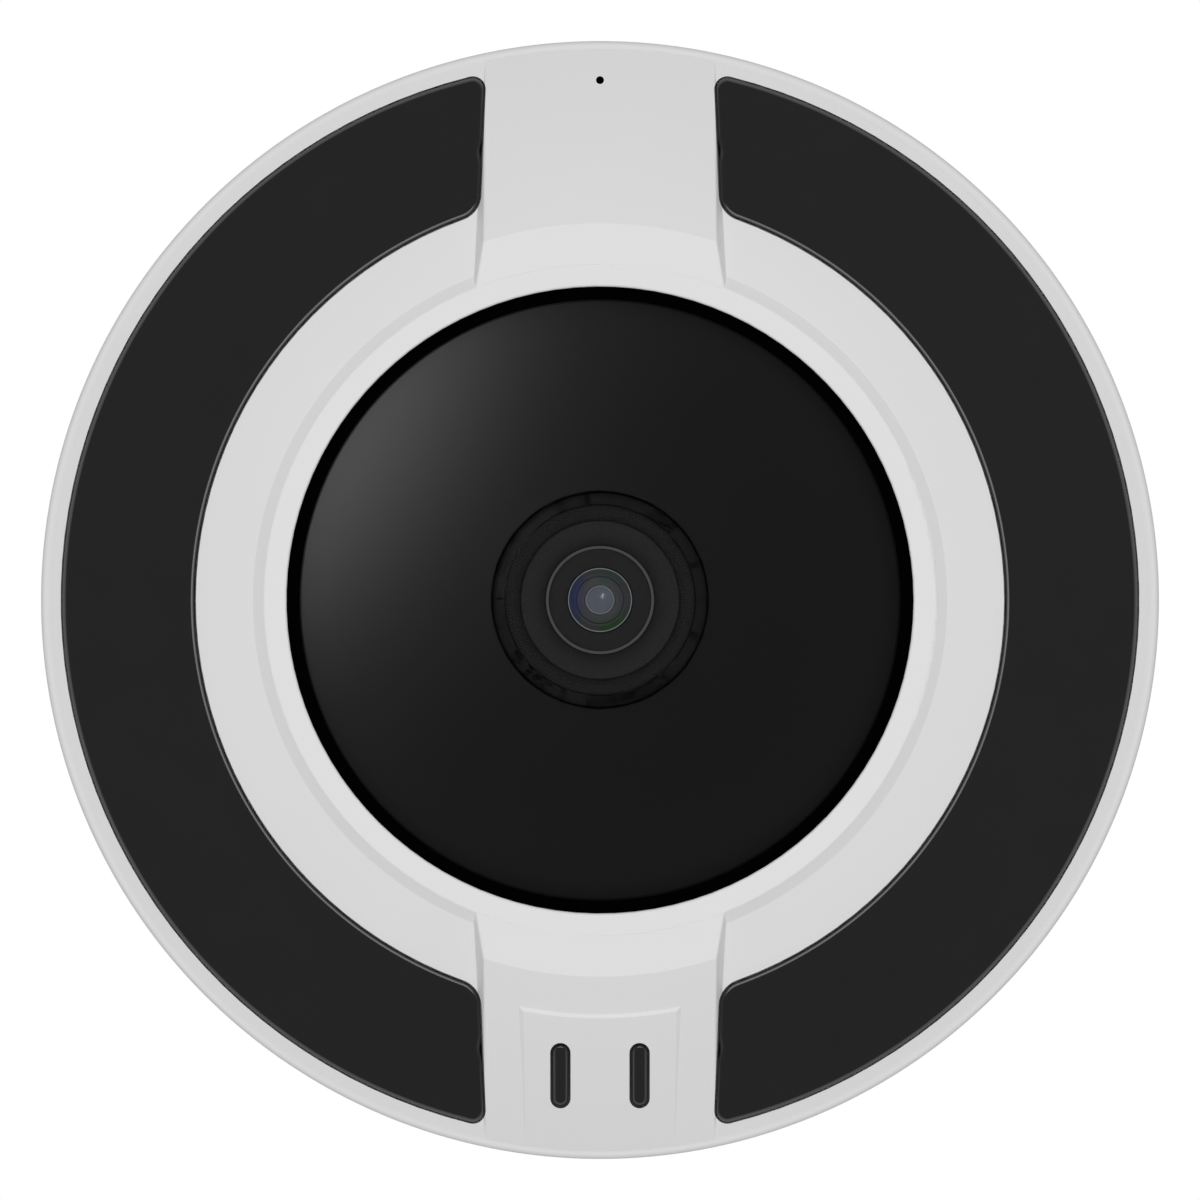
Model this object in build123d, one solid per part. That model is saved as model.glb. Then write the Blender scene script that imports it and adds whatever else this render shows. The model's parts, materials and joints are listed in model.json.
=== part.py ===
from build123d import *
import os
from math import asin, cos, degrees, radians, sin, sqrt, tan

# A panoramic network camera for a wall or a ceiling, with two infrared windows and a black dome.
# Bench frame of the drawing: x to the right and y up as the camera is seen, z out from the wall.
# The last step turns every piece so that the camera faces -Y and stands upright on the wall.
# All sizes are in millimetres, and all angles are in degrees.

# Wall plate with its bayonet tabs
plate_thickness = 2.5
cable_hole_radius = 20.0
wall_screw_circle_radius = 48.0
wall_screw_hole_radius = 2.5
box_slot_spacing = 87.0
box_slot_length = 9.0
plate_edge_round = 0.6
tab_count = 3
tab_first_angle = 60.0
tab_half_angle = 12.0
tab_web = 2.0
lip_thickness = 2.0
lug_half_angle = 10.0
lug_reach = 7.0
lug_thickness = 2.5
lug_overlap = 4.0
bayonet_play = 0.3
bayonet_side_play = 2.0
stop_half_angle = 1.5
stop_play_angle = 0.4
lock_pad_half_angle = 5.0
lock_pad_reach = 0.5
lock_pad_height = 7.0

# Rear housing, cast in one piece
housing_lift = 0.6
lug_lift = 0.8
cable_chamber = 6.5
floor_thickness = 2.5
skirt_inset = 1.0
skirt_wall = 3.0
skirt_edge_round = 0.8
spigot_play = 0.3
spigot_wall = 2.4
spigot_height = 8.5
seal_above_floor = 3.5
seal_height = 2.0
seal_groove_depth = 1.1
seal_play = 0.1
rib_height = 1.4
rib_half_width = 1.0
rib_start_radius = 24.0
rib_angles = (30.0, 90.0, 150.0, 210.0, 330.0)
lock_screw_radius = 1.5
lock_screw_height = 5.0
lock_screw_tip_gap = 0.2
lock_screw_sunk = 0.6
lock_boss_half_angle = 4.0
lock_boss_depth = 1.6
thread_play = 0.08

# Cable entry and vent in the floor
grommet_place = (0.0, -30.0)
grommet_neck_radius = 8.0
grommet_flange = 2.0
grommet_flange_thickness = 1.4
grommet_bore_radius = 3.0
vent_place = (28.0, 32.0)
vent_radius = 4.0
vent_head = 1.5
vent_head_thickness = 0.9
vent_notch_radius = 0.9

# Front cover, moulded in one piece
cover_radius = 77.0
cover_gap = 0.3
shell_wall = 2.4
rim_round = 0.8
cone_angle = 23.0
ring_width = 3.1
ring_bevel = 1.2
dome_opening_radius = 43.1
edge_round = 0.35
ring_seat_width = 2.9
ring_wall = 2.4

# Raised bridges above and below the dome
bridge_half_width = 15.5
bridge_top_length = 4.4
bridge_shoulder_drop = 0.65
bridge_draft = 22.0
microphone_hole_radius = 0.55
microphone_hole_inset = 4.6

# Raised panel and its two slots on the lower bridge
panel_half_width = 9.8
panel_lead = 4.1
panel_rise = 0.4
panel_slant = 0.55
bridge_edge_round = 0.3
slot_spacing = 10.9
slot_inset = 6.35
slot_length = 8.75
slot_width = 2.5
slot_gap = 0.15
slot_insert_sunk = 0.15
slot_insert_chamfer = 0.2
slot_insert_gap = 0.03
slot_insert_flange = 0.8
slot_insert_flange_thickness = 0.8

# Infrared windows
rim_width = 2.9
window_width = 18.3
window_thickness = 2.5
window_proud = 0.35
window_gap = 0.2
window_outer_corner = 1.6
window_inner_corner = 3.6
window_edge_round = 0.4
window_seal_thickness = 0.5
window_seal_width = 1.6
ledge_width = 2.0
ledge_thickness = 1.6
window_frame_wall = 1.8
gate_notch_lead = 4.5
gate_notch_length = 3.2
gate_notch_depth = 0.25

# Black dome with its flange, ears and bubble seat
dome_gap = 1.8
dome_drop = 1.95
dome_sphere_radius = 68.0
dome_wall = 2.0
dome_edge_round = 0.25
dome_skirt_wall = 1.5
dome_skirt_drop = 5.5
dome_jack_gap = 0.5
dome_flange = 2.4
dome_flange_thickness = 1.5
dome_seal_thickness = 0.6
dome_seal_width = 2.1
ear_count = 4
ear_first_angle = 45.0
ear_half_angle = 5.0
ear_reach = 10.0
ear_thickness = 1.5
ear_screw_reach = 7.2
ear_post_radius = 2.6
ear_gap = 0.05

# Clear bubble, its gasket and its retaining ring
bubble_radius = 14.9
bubble_wall = 2.0
bubble_clearance = 0.15
bubble_stand = 22.0
bubble_neck = 1.5
bubble_flange = 2.6
bubble_flange_thickness = 2.0
bubble_seal_thickness = 0.7
bubble_seal_width = 1.6
bubble_flange_play = 0.5
bubble_boss_wall = 6.0
bubble_boss_gap = 0.1
retainer_bore_play = 0.3
retainer_thickness = 2.4
retainer_screw_reach = 3.2

# Boards and what stands on them
standoff_height = 4.5
standoff_radius = 3.2
board_thickness = 1.6
main_board_radius = 58.0
board_screw_inset = 4.26
board_boss_play = 1.0
board_notch_half_width = 11.0
board_notch_start = 20.5
pillar_height = 16.5
pillar_radius = 2.5
pillar_half_span = 15.5
pillar_low = -11.5
pillar_high = 24.5
pillar_hole_play = 0.5
sensor_board_margin = 3.5
sensor_half_width = 4.5
sensor_half_height = 4.0
sensor_thickness = 1.3

# Lens holder and filter changer
mount_half_length = 17.0
mount_half_width = 8.0
mount_roof = 1.1
carriage_lift = 1.8
carriage_thickness = 1.6
carriage_half_width = 5.0
carriage_side_play = 0.1
carriage_floor_play = 0.1
carriage_roof_play = 0.15
filter_pitch = 9.2
filter_side = 7.6
filter_thickness = 0.6
filter_ledge = 0.4
filter_ledge_thickness = 0.5
carriage_end_wall = 1.1
channel_end_play = 0.9
fork_half_width = 2.2
fork_length = 3.3
arm_length = 10.0
arm_pivot_height = 15.6
arm_thickness = 1.0
arm_half_width = 1.1
arm_gap = 0.45
arm_roof_gap = 0.45
pin_radius = 0.6
pin_slot_play = 0.15
pivot_radius = 0.6
pivot_play = 0.15
rotor_radius = 3.0
rotor_gap = 0.35
bay_half_width = 9.0
bay_wall = 1.2
coil_radius = 2.2
coil_gap = 1.1
coil_sink = 0.3
yoke_gap = 0.6
yoke_width = 1.6
yoke_base = 0.4
boss_radius = 9.0
boss_height = 2.2

# Lens with its head, trim and collar
lens_thread_radius = 6.0
lens_thread_play = 0.08
lens_tail_gap = 0.1
lock_ring_radius = 8.6
lock_ring_thickness = 1.6
lock_ring_gap = 0.1
collar_radius = 11.0
collar_play = 0.15
collar_seat_height = 4.2
collar_height = 8.5
lens_head_radius = 7.45
lens_head_lip = 0.35
lip_chamfer = 0.1
head_floor = 1.4
lens_head_start = 6.0
lens_head_height = 6.4
front_element_radius = 4.4
front_element_sphere_radius = 6.0
front_element_depth = 2.6
trim_slope_drop = 1.0
trim_thickness = 2.2
rear_group_radius = 3.4
rear_group_step = 1.2
rear_group_count = 3

# Infrared lamps and their carrier
lamp_window_gap = 1.1
carrier_thickness = 2.5
carrier_margin = 3.8
carrier_play = 0.7
carrier_screw_inset = 2.5
carrier_screw_angles = (20.0, 62.0)
carrier_boss_radius = 2.9
lamp_board_thickness = 1.2
lamp_board_inset = 3.1
lamp_angles = (-41.0, 0.0, 41.0)
lamp_side = 3.4
lamp_height = 1.1
lamp_gap = 0.6
optic_radius = 4.4
optic_height = 3.6
optic_wall = 0.9
optic_rim = 0.9

# Screws that hold the cover from behind
cover_screw_x = 12.5
cover_screw_inset = 10.6
cover_post_radius = 3.4
cover_post_hole_play = 0.8
cover_boss_radius = 5.0
cover_boss_height = 2.5
cover_screw_head_radius = 2.8
cover_screw_head_height = 2.2
cover_screw_head_sunk = 0.15
cover_screw_play = 0.3
cover_screw_shank_radius = 1.5
cover_screw_thread_length = 6.0
cover_post_gap = 0.1

# Microphone with its rubber boot
capsule_radius = 1.9
capsule_height = 1.6
capsule_offset = 1.8
boot_half_width = 3.2
boot_wall = 1.4
boot_duct_radius = 0.7
boot_gap = 0.3
boot_duct_overlap = 0.6

# Indicator board below the slots
indicator_half_width = 8.0
indicator_near_margin = 2.1
indicator_far_margin = 0.55
indicator_thickness = 1.0
indicator_part_width = 1.6
indicator_part_length = 3.0
indicator_part_height = 1.0

# Parts on the main board
processor_place = (0.0, 5.0)
processor_side = 19.0
processor_thickness = 1.2
thermal_pad_thickness = 1.0
pedestal_margin = 1.5
jack_left = -40.0
jack_low = -31.0
jack_width = 16.0
jack_length = 21.0
jack_height = 13.4
jack_wall = 2.1
jack_mouth_height = 8.0
jack_mouth_depth = 14.0
transformer_place = (-32.0, 6.0)
transformer_width = 14.0
transformer_length = 12.0
transformer_height = 10.0
transformer_core = 2.4
transformer_recess = 1.8
capacitor_places = ((-30.0, 22.0), (-24.0, 33.0), (30.0, 26.0))
capacitor_radius = 4.0
capacitor_height = 9.0
terminal_place = (17.0, -38.0)
terminal_width = 10.0
terminal_length = 8.0
terminal_height = 9.0
terminal_hole_radius = 1.4
terminal_wire_depth = 4.8
terminal_wire_height = 3.1
terminal_screw_depth = 3.6
card_socket_left = 24.0
card_socket_low = -2.0
card_socket_length = 14.6
card_socket_width = 13.4
card_socket_height = 2.0
card_length = 15.0
card_width = 11.0
card_thickness = 0.75
card_play = 0.15
card_push_travel = 0.8
card_push_gap = 0.2
socket_floor = 0.4
socket_end_wall = 1.0
card_notch_length = 6.0
card_notch_depth = 1.4
card_ridge = 0.25
reset_place = (22.0, -22.0)
reset_side = 6.0
reset_body_height = 3.5
reset_plunger_radius = 1.75
reset_plunger_play = 0.1
reset_plunger_stand = 1.5
reset_travel = 0.35
reset_bottom_gap = 0.1
reset_bore_depth = 1.7
ribbon_half_width = 5.0
ribbon_thickness = 0.3
ribbon_bend_y = -18.0
ribbon_tail = 3.0
connector_half_width = 6.0
connector_length = 4.0
connector_height = 1.6

# Small screws of the boards, the carrier, the dome and the retaining ring
small_screw_radius = 1.25
small_screw_head_radius = 2.3
small_screw_head_height = 1.5
small_screw_grip = 4.5
fine_screw_radius = 1.0
fine_screw_head_radius = 1.9
fine_screw_head_height = 1.3
fine_screw_grip = 2.4

# Radii worked out from the cover inwards
rim_radius = cover_radius - rim_round
cover_bore_radius = cover_radius - shell_wall
spigot_radius = cover_bore_radius - spigot_play
spigot_bore_radius = spigot_radius - spigot_wall
skirt_radius = cover_radius - skirt_inset
skirt_bore_radius = skirt_radius - skirt_wall
plate_radius = skirt_bore_radius - lug_reach - bayonet_side_play
lip_radius = plate_radius + bayonet_side_play + lug_overlap
window_outer_radius = cover_radius - rim_width
window_inner_radius = window_outer_radius - window_width
lamp_circle_radius = (window_outer_radius + window_inner_radius) / 2
carrier_outer_radius = spigot_bore_radius - carrier_play
carrier_inner_radius = window_inner_radius - carrier_margin
carrier_screw_circle_radius = lamp_circle_radius - carrier_screw_inset
ring_outer_radius = dome_opening_radius + ring_width
ring_foot_radius = ring_outer_radius + ring_bevel
bridge_shoulder_radius = ring_foot_radius + bridge_top_length
dome_edge_radius = dome_opening_radius - dome_gap
ear_screw_circle_radius = dome_edge_radius + ear_screw_reach
bubble_flange_radius = bubble_radius + bubble_flange
bubble_pocket_radius = bubble_flange_radius + bubble_flange_play
bubble_boss_radius = bubble_pocket_radius + bubble_boss_wall
retainer_bore_radius = bubble_radius - bubble_wall + retainer_bore_play
retainer_screw_circle_radius = bubble_pocket_radius + retainer_screw_reach

# Places worked out from those radii
slot_near = rim_radius - slot_inset - slot_length
panel_start_radius = slot_near - panel_lead
gate_notch_near = window_inner_radius + gate_notch_lead
microphone_hole_place = rim_radius - microphone_hole_inset
capsule_place = microphone_hole_place - capsule_offset
cover_screw_y = cover_bore_radius - cover_screw_inset
board_screw_place = (main_board_radius - board_screw_inset) * sqrt(0.5)
sensor_board_half_width = pillar_half_span + sensor_board_margin

cone_slope = tan(radians(cone_angle))
cone_lean = cos(radians(cone_angle))

# Heights worked out from the wall outwards: the jack sets the dome, and the dome sets the cone
lug_bottom = housing_lift + lug_lift
lip_bottom = lug_bottom + lug_thickness + bayonet_play
lip_top = lip_bottom + lip_thickness
floor_bottom = plate_thickness + cable_chamber
floor_top = floor_bottom + floor_thickness
cover_bottom = floor_top + cover_gap
board_z = floor_top + standoff_height
board_top = board_z + board_thickness
sensor_board_z = floor_top + pillar_height
sensor_board_top = sensor_board_z + board_thickness
dome_skirt_low = board_top + jack_height + dome_jack_gap
dome_edge_z = dome_skirt_low + dome_skirt_drop
ring_z = dome_edge_z + dome_drop
rim_z = ring_z - ring_bevel - (rim_radius - ring_foot_radius) * cone_slope


def cone_z(radius):
    """Height of the cover's cone at a distance from the axis."""
    return rim_z + (rim_radius - radius) * cone_slope


window_back_z = cone_z(lamp_circle_radius) - (window_thickness - window_proud) / cone_lean
lamp_board_top = window_back_z - lamp_window_gap - optic_height
carrier_top = lamp_board_top - lamp_board_thickness
carrier_z = carrier_top - carrier_thickness
shoulder_z = ring_z - bridge_shoulder_drop
bridge_slope = (shoulder_z - rim_z) / (rim_radius - bridge_shoulder_radius)


def bridge_z(radius):
    """Height of a bridge's sloping top at a distance from the axis."""
    return rim_z + (rim_radius - radius) * bridge_slope


def disc(radius, low, high, place=(0.0, 0.0)):
    """A round bar that stands on the drawing plane."""
    bar = Cylinder(radius, high - low, align=(Align.CENTER, Align.CENTER, Align.MIN))
    return Pos(place[0], place[1], low) * bar


def slab(left, right, near, far, low, high):
    """A block between six faces."""
    block = Box(right - left, far - near, high - low, align=(Align.MIN, Align.MIN, Align.MIN))
    return Pos(left, near, low) * block


def turned(points, arc=360.0, start=0.0):
    """A profile of (radius, height) points turned about the camera's axis."""
    face = Plane.XZ * make_face(Polyline(*points, close=True))
    return Rot(0, 0, start) * revolve(face, Axis.Z, revolution_arc=arc)


def tube(outer, inner, low, high):
    """A plain ring on the camera's axis."""
    return disc(outer, low, high) - disc(inner, low, high)


def sector(inner, outer, low, high, middle, half):
    """A piece of a ring, half an angle to each side of its middle."""
    points = [(inner, low), (outer, low), (outer, high), (inner, high)]
    return turned(points, 2 * half, middle - half)


def around(radius, angle):
    """A place on a circle."""
    return (radius * cos(radians(angle)), radius * sin(radians(angle)))


def gathered(pieces):
    """Several separate solids that share a node."""
    return Part() + pieces


def cone_layer(top, bottom):
    """A layer of the cone between two depths, each square to its surface and positive outwards."""
    inner = dome_edge_radius
    outer = cover_radius + shell_wall
    rise = top / cone_lean
    sink = bottom / cone_lean
    return turned([
        (inner, cone_z(inner) + sink), (outer, cone_z(outer) + sink),
        (outer, cone_z(outer) + rise), (inner, cone_z(inner) + rise),
    ])


def tall(outline):
    """An outline carried from the wall to well past the dome."""
    return extrude(outline, ring_z + bubble_stand)


# Mounting plate

def mounting_plate():
    """Steel plate that is screwed to the wall, with three bayonet tabs and a pad for the lock screw."""
    edge = plate_edge_round
    plate = turned([
        (cable_hole_radius, 0), (plate_radius, 0), (plate_radius, plate_thickness - edge),
        (plate_radius - edge, plate_thickness), (cable_hole_radius, plate_thickness),
    ])
    web_bore = plate_radius - tab_web
    sink = plate_thickness / 2
    for number in range(tab_count):
        middle = tab_first_angle + number * 360.0 / tab_count
        plate = plate + sector(web_bore, plate_radius, sink, lip_top, middle, tab_half_angle)
        plate = plate + sector(web_bore, lip_radius, lip_bottom, lip_top, middle, tab_half_angle)
        stop = middle - lug_half_angle - stop_play_angle - stop_half_angle
        plate = plate + sector(web_bore, lip_radius, lug_bottom, lip_top, stop, stop_half_angle)
    pad_bore = plate_radius - tab_web
    pad_outer = lip_radius + lock_pad_reach
    plate = plate + sector(pad_bore, pad_outer, 0, lock_pad_height, 270.0, lock_pad_half_angle)
    for number in range(4):
        angle = 45.0 + 90.0 * number
        hole = disc(wall_screw_hole_radius, -1, plate_thickness + 1, around(wall_screw_circle_radius, angle))
        plate = plate - hole
    slot = extrude(SlotOverall(box_slot_length, 2 * wall_screw_hole_radius), plate_thickness + 2)
    for number in range(4):
        plate = plate - Rot(0, 0, 90.0 * number) * Pos(box_slot_spacing / 2, 0, -1) * slot
    return plate


# Rear housing and what sits in its floor

def cover_screw_places():
    """The four screws that hold the cover."""
    return [(x, y) for x in (-cover_screw_x, cover_screw_x) for y in (-cover_screw_y, cover_screw_y)]


def board_screw_places():
    """The four screws of the main board."""
    span = (-board_screw_place, board_screw_place)
    return [(x, y) for x in span for y in span]


def pillar_places():
    """The four pillars that carry the sensor board."""
    return [(x, y) for x in (-pillar_half_span, pillar_half_span) for y in (pillar_low, pillar_high)]


def carrier_screw_places():
    """The eight screws of the lamp carrier."""
    places = []
    for angle in carrier_screw_angles:
        for turned_angle in (angle, -angle, 180.0 - angle, 180.0 + angle):
            places.append(around(carrier_screw_circle_radius, turned_angle))
    return places


def rear_housing():
    """Cast housing: skirt round the wall plate, floor, spigot with a seal groove, bosses and ribs."""
    groove_low = floor_top + seal_above_floor
    groove_high = groove_low + seal_height
    groove_radius = spigot_radius - seal_groove_depth
    edge = skirt_edge_round
    spigot_top = floor_top + spigot_height
    body = turned([
        (skirt_radius - edge, housing_lift), (skirt_radius, housing_lift + edge),
        (skirt_radius, floor_top - edge / 2), (skirt_radius - edge / 2, floor_top),
        (spigot_radius, floor_top), (spigot_radius, groove_low), (groove_radius, groove_low),
        (groove_radius, groove_high), (spigot_radius, groove_high), (spigot_radius, spigot_top - edge / 2),
        (spigot_radius - edge / 2, spigot_top), (spigot_bore_radius, spigot_top),
        (spigot_bore_radius, floor_top), (0, floor_top), (0, floor_bottom),
        (skirt_bore_radius, floor_bottom), (skirt_bore_radius, housing_lift),
    ])
    lug_inner = skirt_bore_radius - lug_reach
    lug_outer = skirt_bore_radius + skirt_wall / 2
    for number in range(tab_count):
        middle = tab_first_angle + number * 360.0 / tab_count
        lug_top = lug_bottom + lug_thickness
        body = body + sector(lug_inner, lug_outer, lug_bottom, lug_top, middle, lug_half_angle)
    sink = floor_top - floor_thickness / 2
    for place in board_screw_places():
        body = body + disc(standoff_radius, sink, board_z, place)
        body = body - disc(small_screw_radius, floor_top, board_z + 1, place)
    for place in carrier_screw_places():
        body = body + disc(carrier_boss_radius, sink, carrier_z, place)
        body = body - disc(small_screw_radius, carrier_z - small_screw_grip, carrier_z + 1, place)
    boss_top = floor_top + cover_boss_height
    for place in cover_screw_places():
        body = body + disc(cover_boss_radius, sink, boss_top, place)
        head_top = floor_bottom + cover_screw_head_sunk + cover_screw_head_height
        body = body - disc(cover_screw_head_radius + cover_screw_play, floor_bottom - 1, head_top, place)
        body = body - disc(cover_screw_shank_radius + cover_screw_play, floor_bottom, boss_top + 1, place)
    half = processor_side / 2 + pedestal_margin
    x, y = processor_place
    pedestal_top = board_z - processor_thickness - thermal_pad_thickness
    body = body + slab(x - half, x + half, y - half, y + half, sink, pedestal_top)
    for angle in rib_angles:
        rib = slab(rib_start_radius, skirt_bore_radius + 1, -rib_half_width, rib_half_width,
                   floor_bottom - rib_height, floor_bottom + 1)
        body = body + Rot(0, 0, angle) * rib
    boss_bore = skirt_bore_radius - lock_boss_depth
    boss_outer = skirt_bore_radius + 1
    body = body + sector(boss_bore, boss_outer, lug_bottom, floor_bottom + 1, 270.0, lock_boss_half_angle)
    body = body - lock_screw_bar(lock_screw_radius + thread_play, boss_bore - 2, skirt_radius + 2)
    body = body - disc(grommet_neck_radius, floor_bottom - 5, floor_top + 5, grommet_place)
    body = body - disc(vent_radius, floor_bottom - 5, floor_top + 5, vent_place)
    return body


def lock_screw_bar(radius, inner, outer):
    """A round bar along the lock screw's line, which runs down from the axis."""
    bar = Cylinder(radius, outer - inner, align=(Align.CENTER, Align.CENTER, Align.MIN))
    return Pos(0, -inner, lock_screw_height) * Rot(90, 0, 0) * bar


def lock_screw():
    """Grub screw through the skirt, with a socket in its outer end."""
    tip = lip_radius + lock_pad_reach + lock_screw_tip_gap
    end = skirt_radius - lock_screw_sunk
    screw = lock_screw_bar(lock_screw_radius, tip, end)
    socket = Pos(0, -end, lock_screw_height) * Rot(90, 0, 0) * extrude(RegularPolygon(0.85, 6), -1.6)
    return screw - socket


def cable_grommet():
    """Rubber grommet in the floor, where the network cable comes in."""
    x, y = grommet_place
    flange = grommet_neck_radius + grommet_flange
    low = floor_bottom - grommet_flange_thickness
    high = floor_top + grommet_flange_thickness
    taper = grommet_flange / 2
    ring = turned([
        (grommet_bore_radius, low), (flange - taper, low), (flange, floor_bottom),
        (grommet_neck_radius, floor_bottom), (grommet_neck_radius, floor_top), (flange, floor_top),
        (flange - taper, high), (grommet_bore_radius, high),
    ])
    return Pos(x, y, 0) * ring


def vent_plug():
    """Round plug with a membrane, which lets the housing breathe."""
    low = floor_bottom - vent_head_thickness
    head = disc(vent_radius + vent_head, low, floor_bottom, vent_place)
    neck = disc(vent_radius, low + vent_head_thickness / 2, floor_top + vent_head_thickness, vent_place)
    plug = head + neck
    for number in range(4):
        x, y = around(vent_radius + vent_head, 90.0 * number)
        plug = plug - disc(vent_notch_radius, 0, floor_bottom, (vent_place[0] + x, vent_place[1] + y))
    return plug


def main_seal():
    """Rubber ring in the spigot's groove."""
    low = floor_top + seal_above_floor
    inner = spigot_radius - seal_groove_depth
    outer = cover_bore_radius - seal_play
    crown = (outer - inner) / 3
    high = low + seal_height
    return turned([
        (inner, low), (outer - crown, low), (outer, low + seal_height / 3),
        (outer, high - seal_height / 3), (outer - crown, high), (inner, high),
    ])


def cover_screws():
    """Four captive screws that are turned from behind."""
    head_low = floor_bottom + cover_screw_head_sunk
    head_high = head_low + cover_screw_head_height
    boss_top = floor_top + cover_boss_height
    screws = []
    for place in cover_screw_places():
        head = disc(cover_screw_head_radius, head_low, head_high, place)
        shank = disc(cover_screw_shank_radius, head_low, boss_top + cover_screw_thread_length, place)
        socket = Pos(place[0], place[1], head_low) * extrude(RegularPolygon(1.4, 6), 1.3)
        screws.append(head + shank - socket)
    return gathered(screws)


# Front cover

def window_edge_x(height_up, grow):
    """Half width between the windows at a height above the axis, with the windows grown by a margin."""
    rise = (bridge_z(height_up) - cone_z(height_up)) * tan(radians(bridge_draft))
    return bridge_half_width + rise + window_gap - grow


def window_outline(grow):
    """The right window seen from the front, grown by a margin on every side."""
    outer = window_outer_radius + grow
    inner = window_inner_radius - grow
    ring = Circle(outer) - Circle(inner)
    near = window_inner_radius * 0.9
    far = cover_radius
    reach = cover_radius + shell_wall
    side = make_face(Polyline(
        (window_edge_x(near, grow), near), (window_edge_x(far, grow), far), (reach, far),
        (reach, -far), (window_edge_x(far, grow), -far), (window_edge_x(near, grow), -near), close=True,
    ))
    outline = ring & side
    middle = (outer + inner) / 2
    outer_corners = outline.vertices().filter_by(lambda v: sqrt(v.X ** 2 + v.Y ** 2) > middle)
    outline = fillet(outer_corners, window_outer_corner + max(grow, -window_outer_corner / 2))
    inner_corners = outline.vertices().filter_by(
        lambda v: abs(sqrt(v.X ** 2 + v.Y ** 2) - inner) < 0.01)
    return fillet(inner_corners, window_inner_corner + grow)


def rounded_window():
    """The right window as one slab that follows the cone, with its outer edges rounded."""
    slab_layer = cone_layer(window_proud, window_proud - window_thickness)
    window = tall(window_outline(0.0)) & slab_layer
    window = window.solids()[0]
    cones = window.faces().filter_by(GeomType.CONE).sort_by(Axis.Z)
    window = fillet(cones[-1].edges(), window_edge_round)
    far = gate_notch_near + gate_notch_length
    for sign in (-1, 1):
        low = min(sign * gate_notch_near, sign * far)
        edge = window_edge_x(gate_notch_near, 0.0)
        window = window - slab(edge - 2, edge + gate_notch_depth, low, low + gate_notch_length, 0, ring_z)
    return window


def window_seal():
    """Gasket between the right window and its ledge."""
    top = window_proud - window_thickness
    layer = cone_layer(top, top - window_seal_thickness)
    return tall(window_outline(0.0) - window_outline(-window_seal_width)) & layer


def left_of(piece):
    """The same piece on the other side."""
    return mirror(piece, about=Plane.YZ)


def side_prism(half_width, slant, surface, below, above):
    """A bar along the bridge whose sides lean in, from below to above the sloping surface."""
    foot = half_width + below * slant
    top = half_width - above * slant
    sections = []
    for y in (dome_edge_radius, cover_radius + shell_wall):
        low = surface(y) - below
        high = surface(y) + above
        corners = Polyline((-foot, low), (foot, low), (top, high), (-top, high), close=True)
        sections.append(Plane(origin=(0, y, 0), x_dir=(1, 0, 0), z_dir=(0, -1, 0)) * make_face(corners))
    return loft(sections, ruled=True)


def bridge():
    """The upper bridge's block: a turned profile trimmed by drafted side faces, with soft top edges."""
    buried = shell_wall / 2 / cone_lean
    block = turned([
        (ring_outer_radius, cone_z(ring_outer_radius) - buried), (ring_outer_radius, ring_z),
        (bridge_shoulder_radius, shoulder_z), (rim_radius, bridge_z(rim_radius)),
        (rim_radius, cone_z(rim_radius) - buried),
    ], 180.0, 0.0)
    draft = tan(radians(bridge_draft))
    prism = side_prism(bridge_half_width, draft, bridge_z, ring_z - rim_z, 2 * shell_wall)
    block = (block & prism).solids()[0]
    tops = block.faces().filter_by(GeomType.CONE).sort_by(Axis.Z)[-2:]
    edges = []
    for top in tops:
        edges += top.edges().filter_by(lambda edge: abs(edge.center().X) > bridge_half_width * 0.8)
    return fillet(edges, bridge_edge_round)


def panel_z(radius):
    """Height of the raised panel, which runs out into the bridge at the rim."""
    share = (rim_radius - radius) / (rim_radius - panel_start_radius)
    return bridge_z(radius) + panel_rise * share


def raised_panel():
    """Panel on the upper bridge's place, with slanting sides and a slanting inner edge."""
    depth = shell_wall / 3
    slant = panel_slant / panel_rise
    start = panel_start_radius
    block = turned([
        (start - depth * slant, bridge_z(start) - depth), (start, bridge_z(start)),
        (start + panel_slant, panel_z(start + panel_slant)), (rim_radius, panel_z(rim_radius)),
        (rim_radius, bridge_z(rim_radius) - depth),
    ], 180.0, 0.0)
    return block & side_prism(panel_half_width, slant, panel_z, shell_wall, shell_wall)


def pill(grow, side):
    """One slot outline on the lower bridge, seen from the front."""
    centre = -(slot_near + slot_length / 2)
    outline = SlotOverall(slot_length + 2 * grow, slot_width + 2 * grow, rotation=90)
    return Pos(side * slot_spacing / 2, centre) * outline


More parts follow.
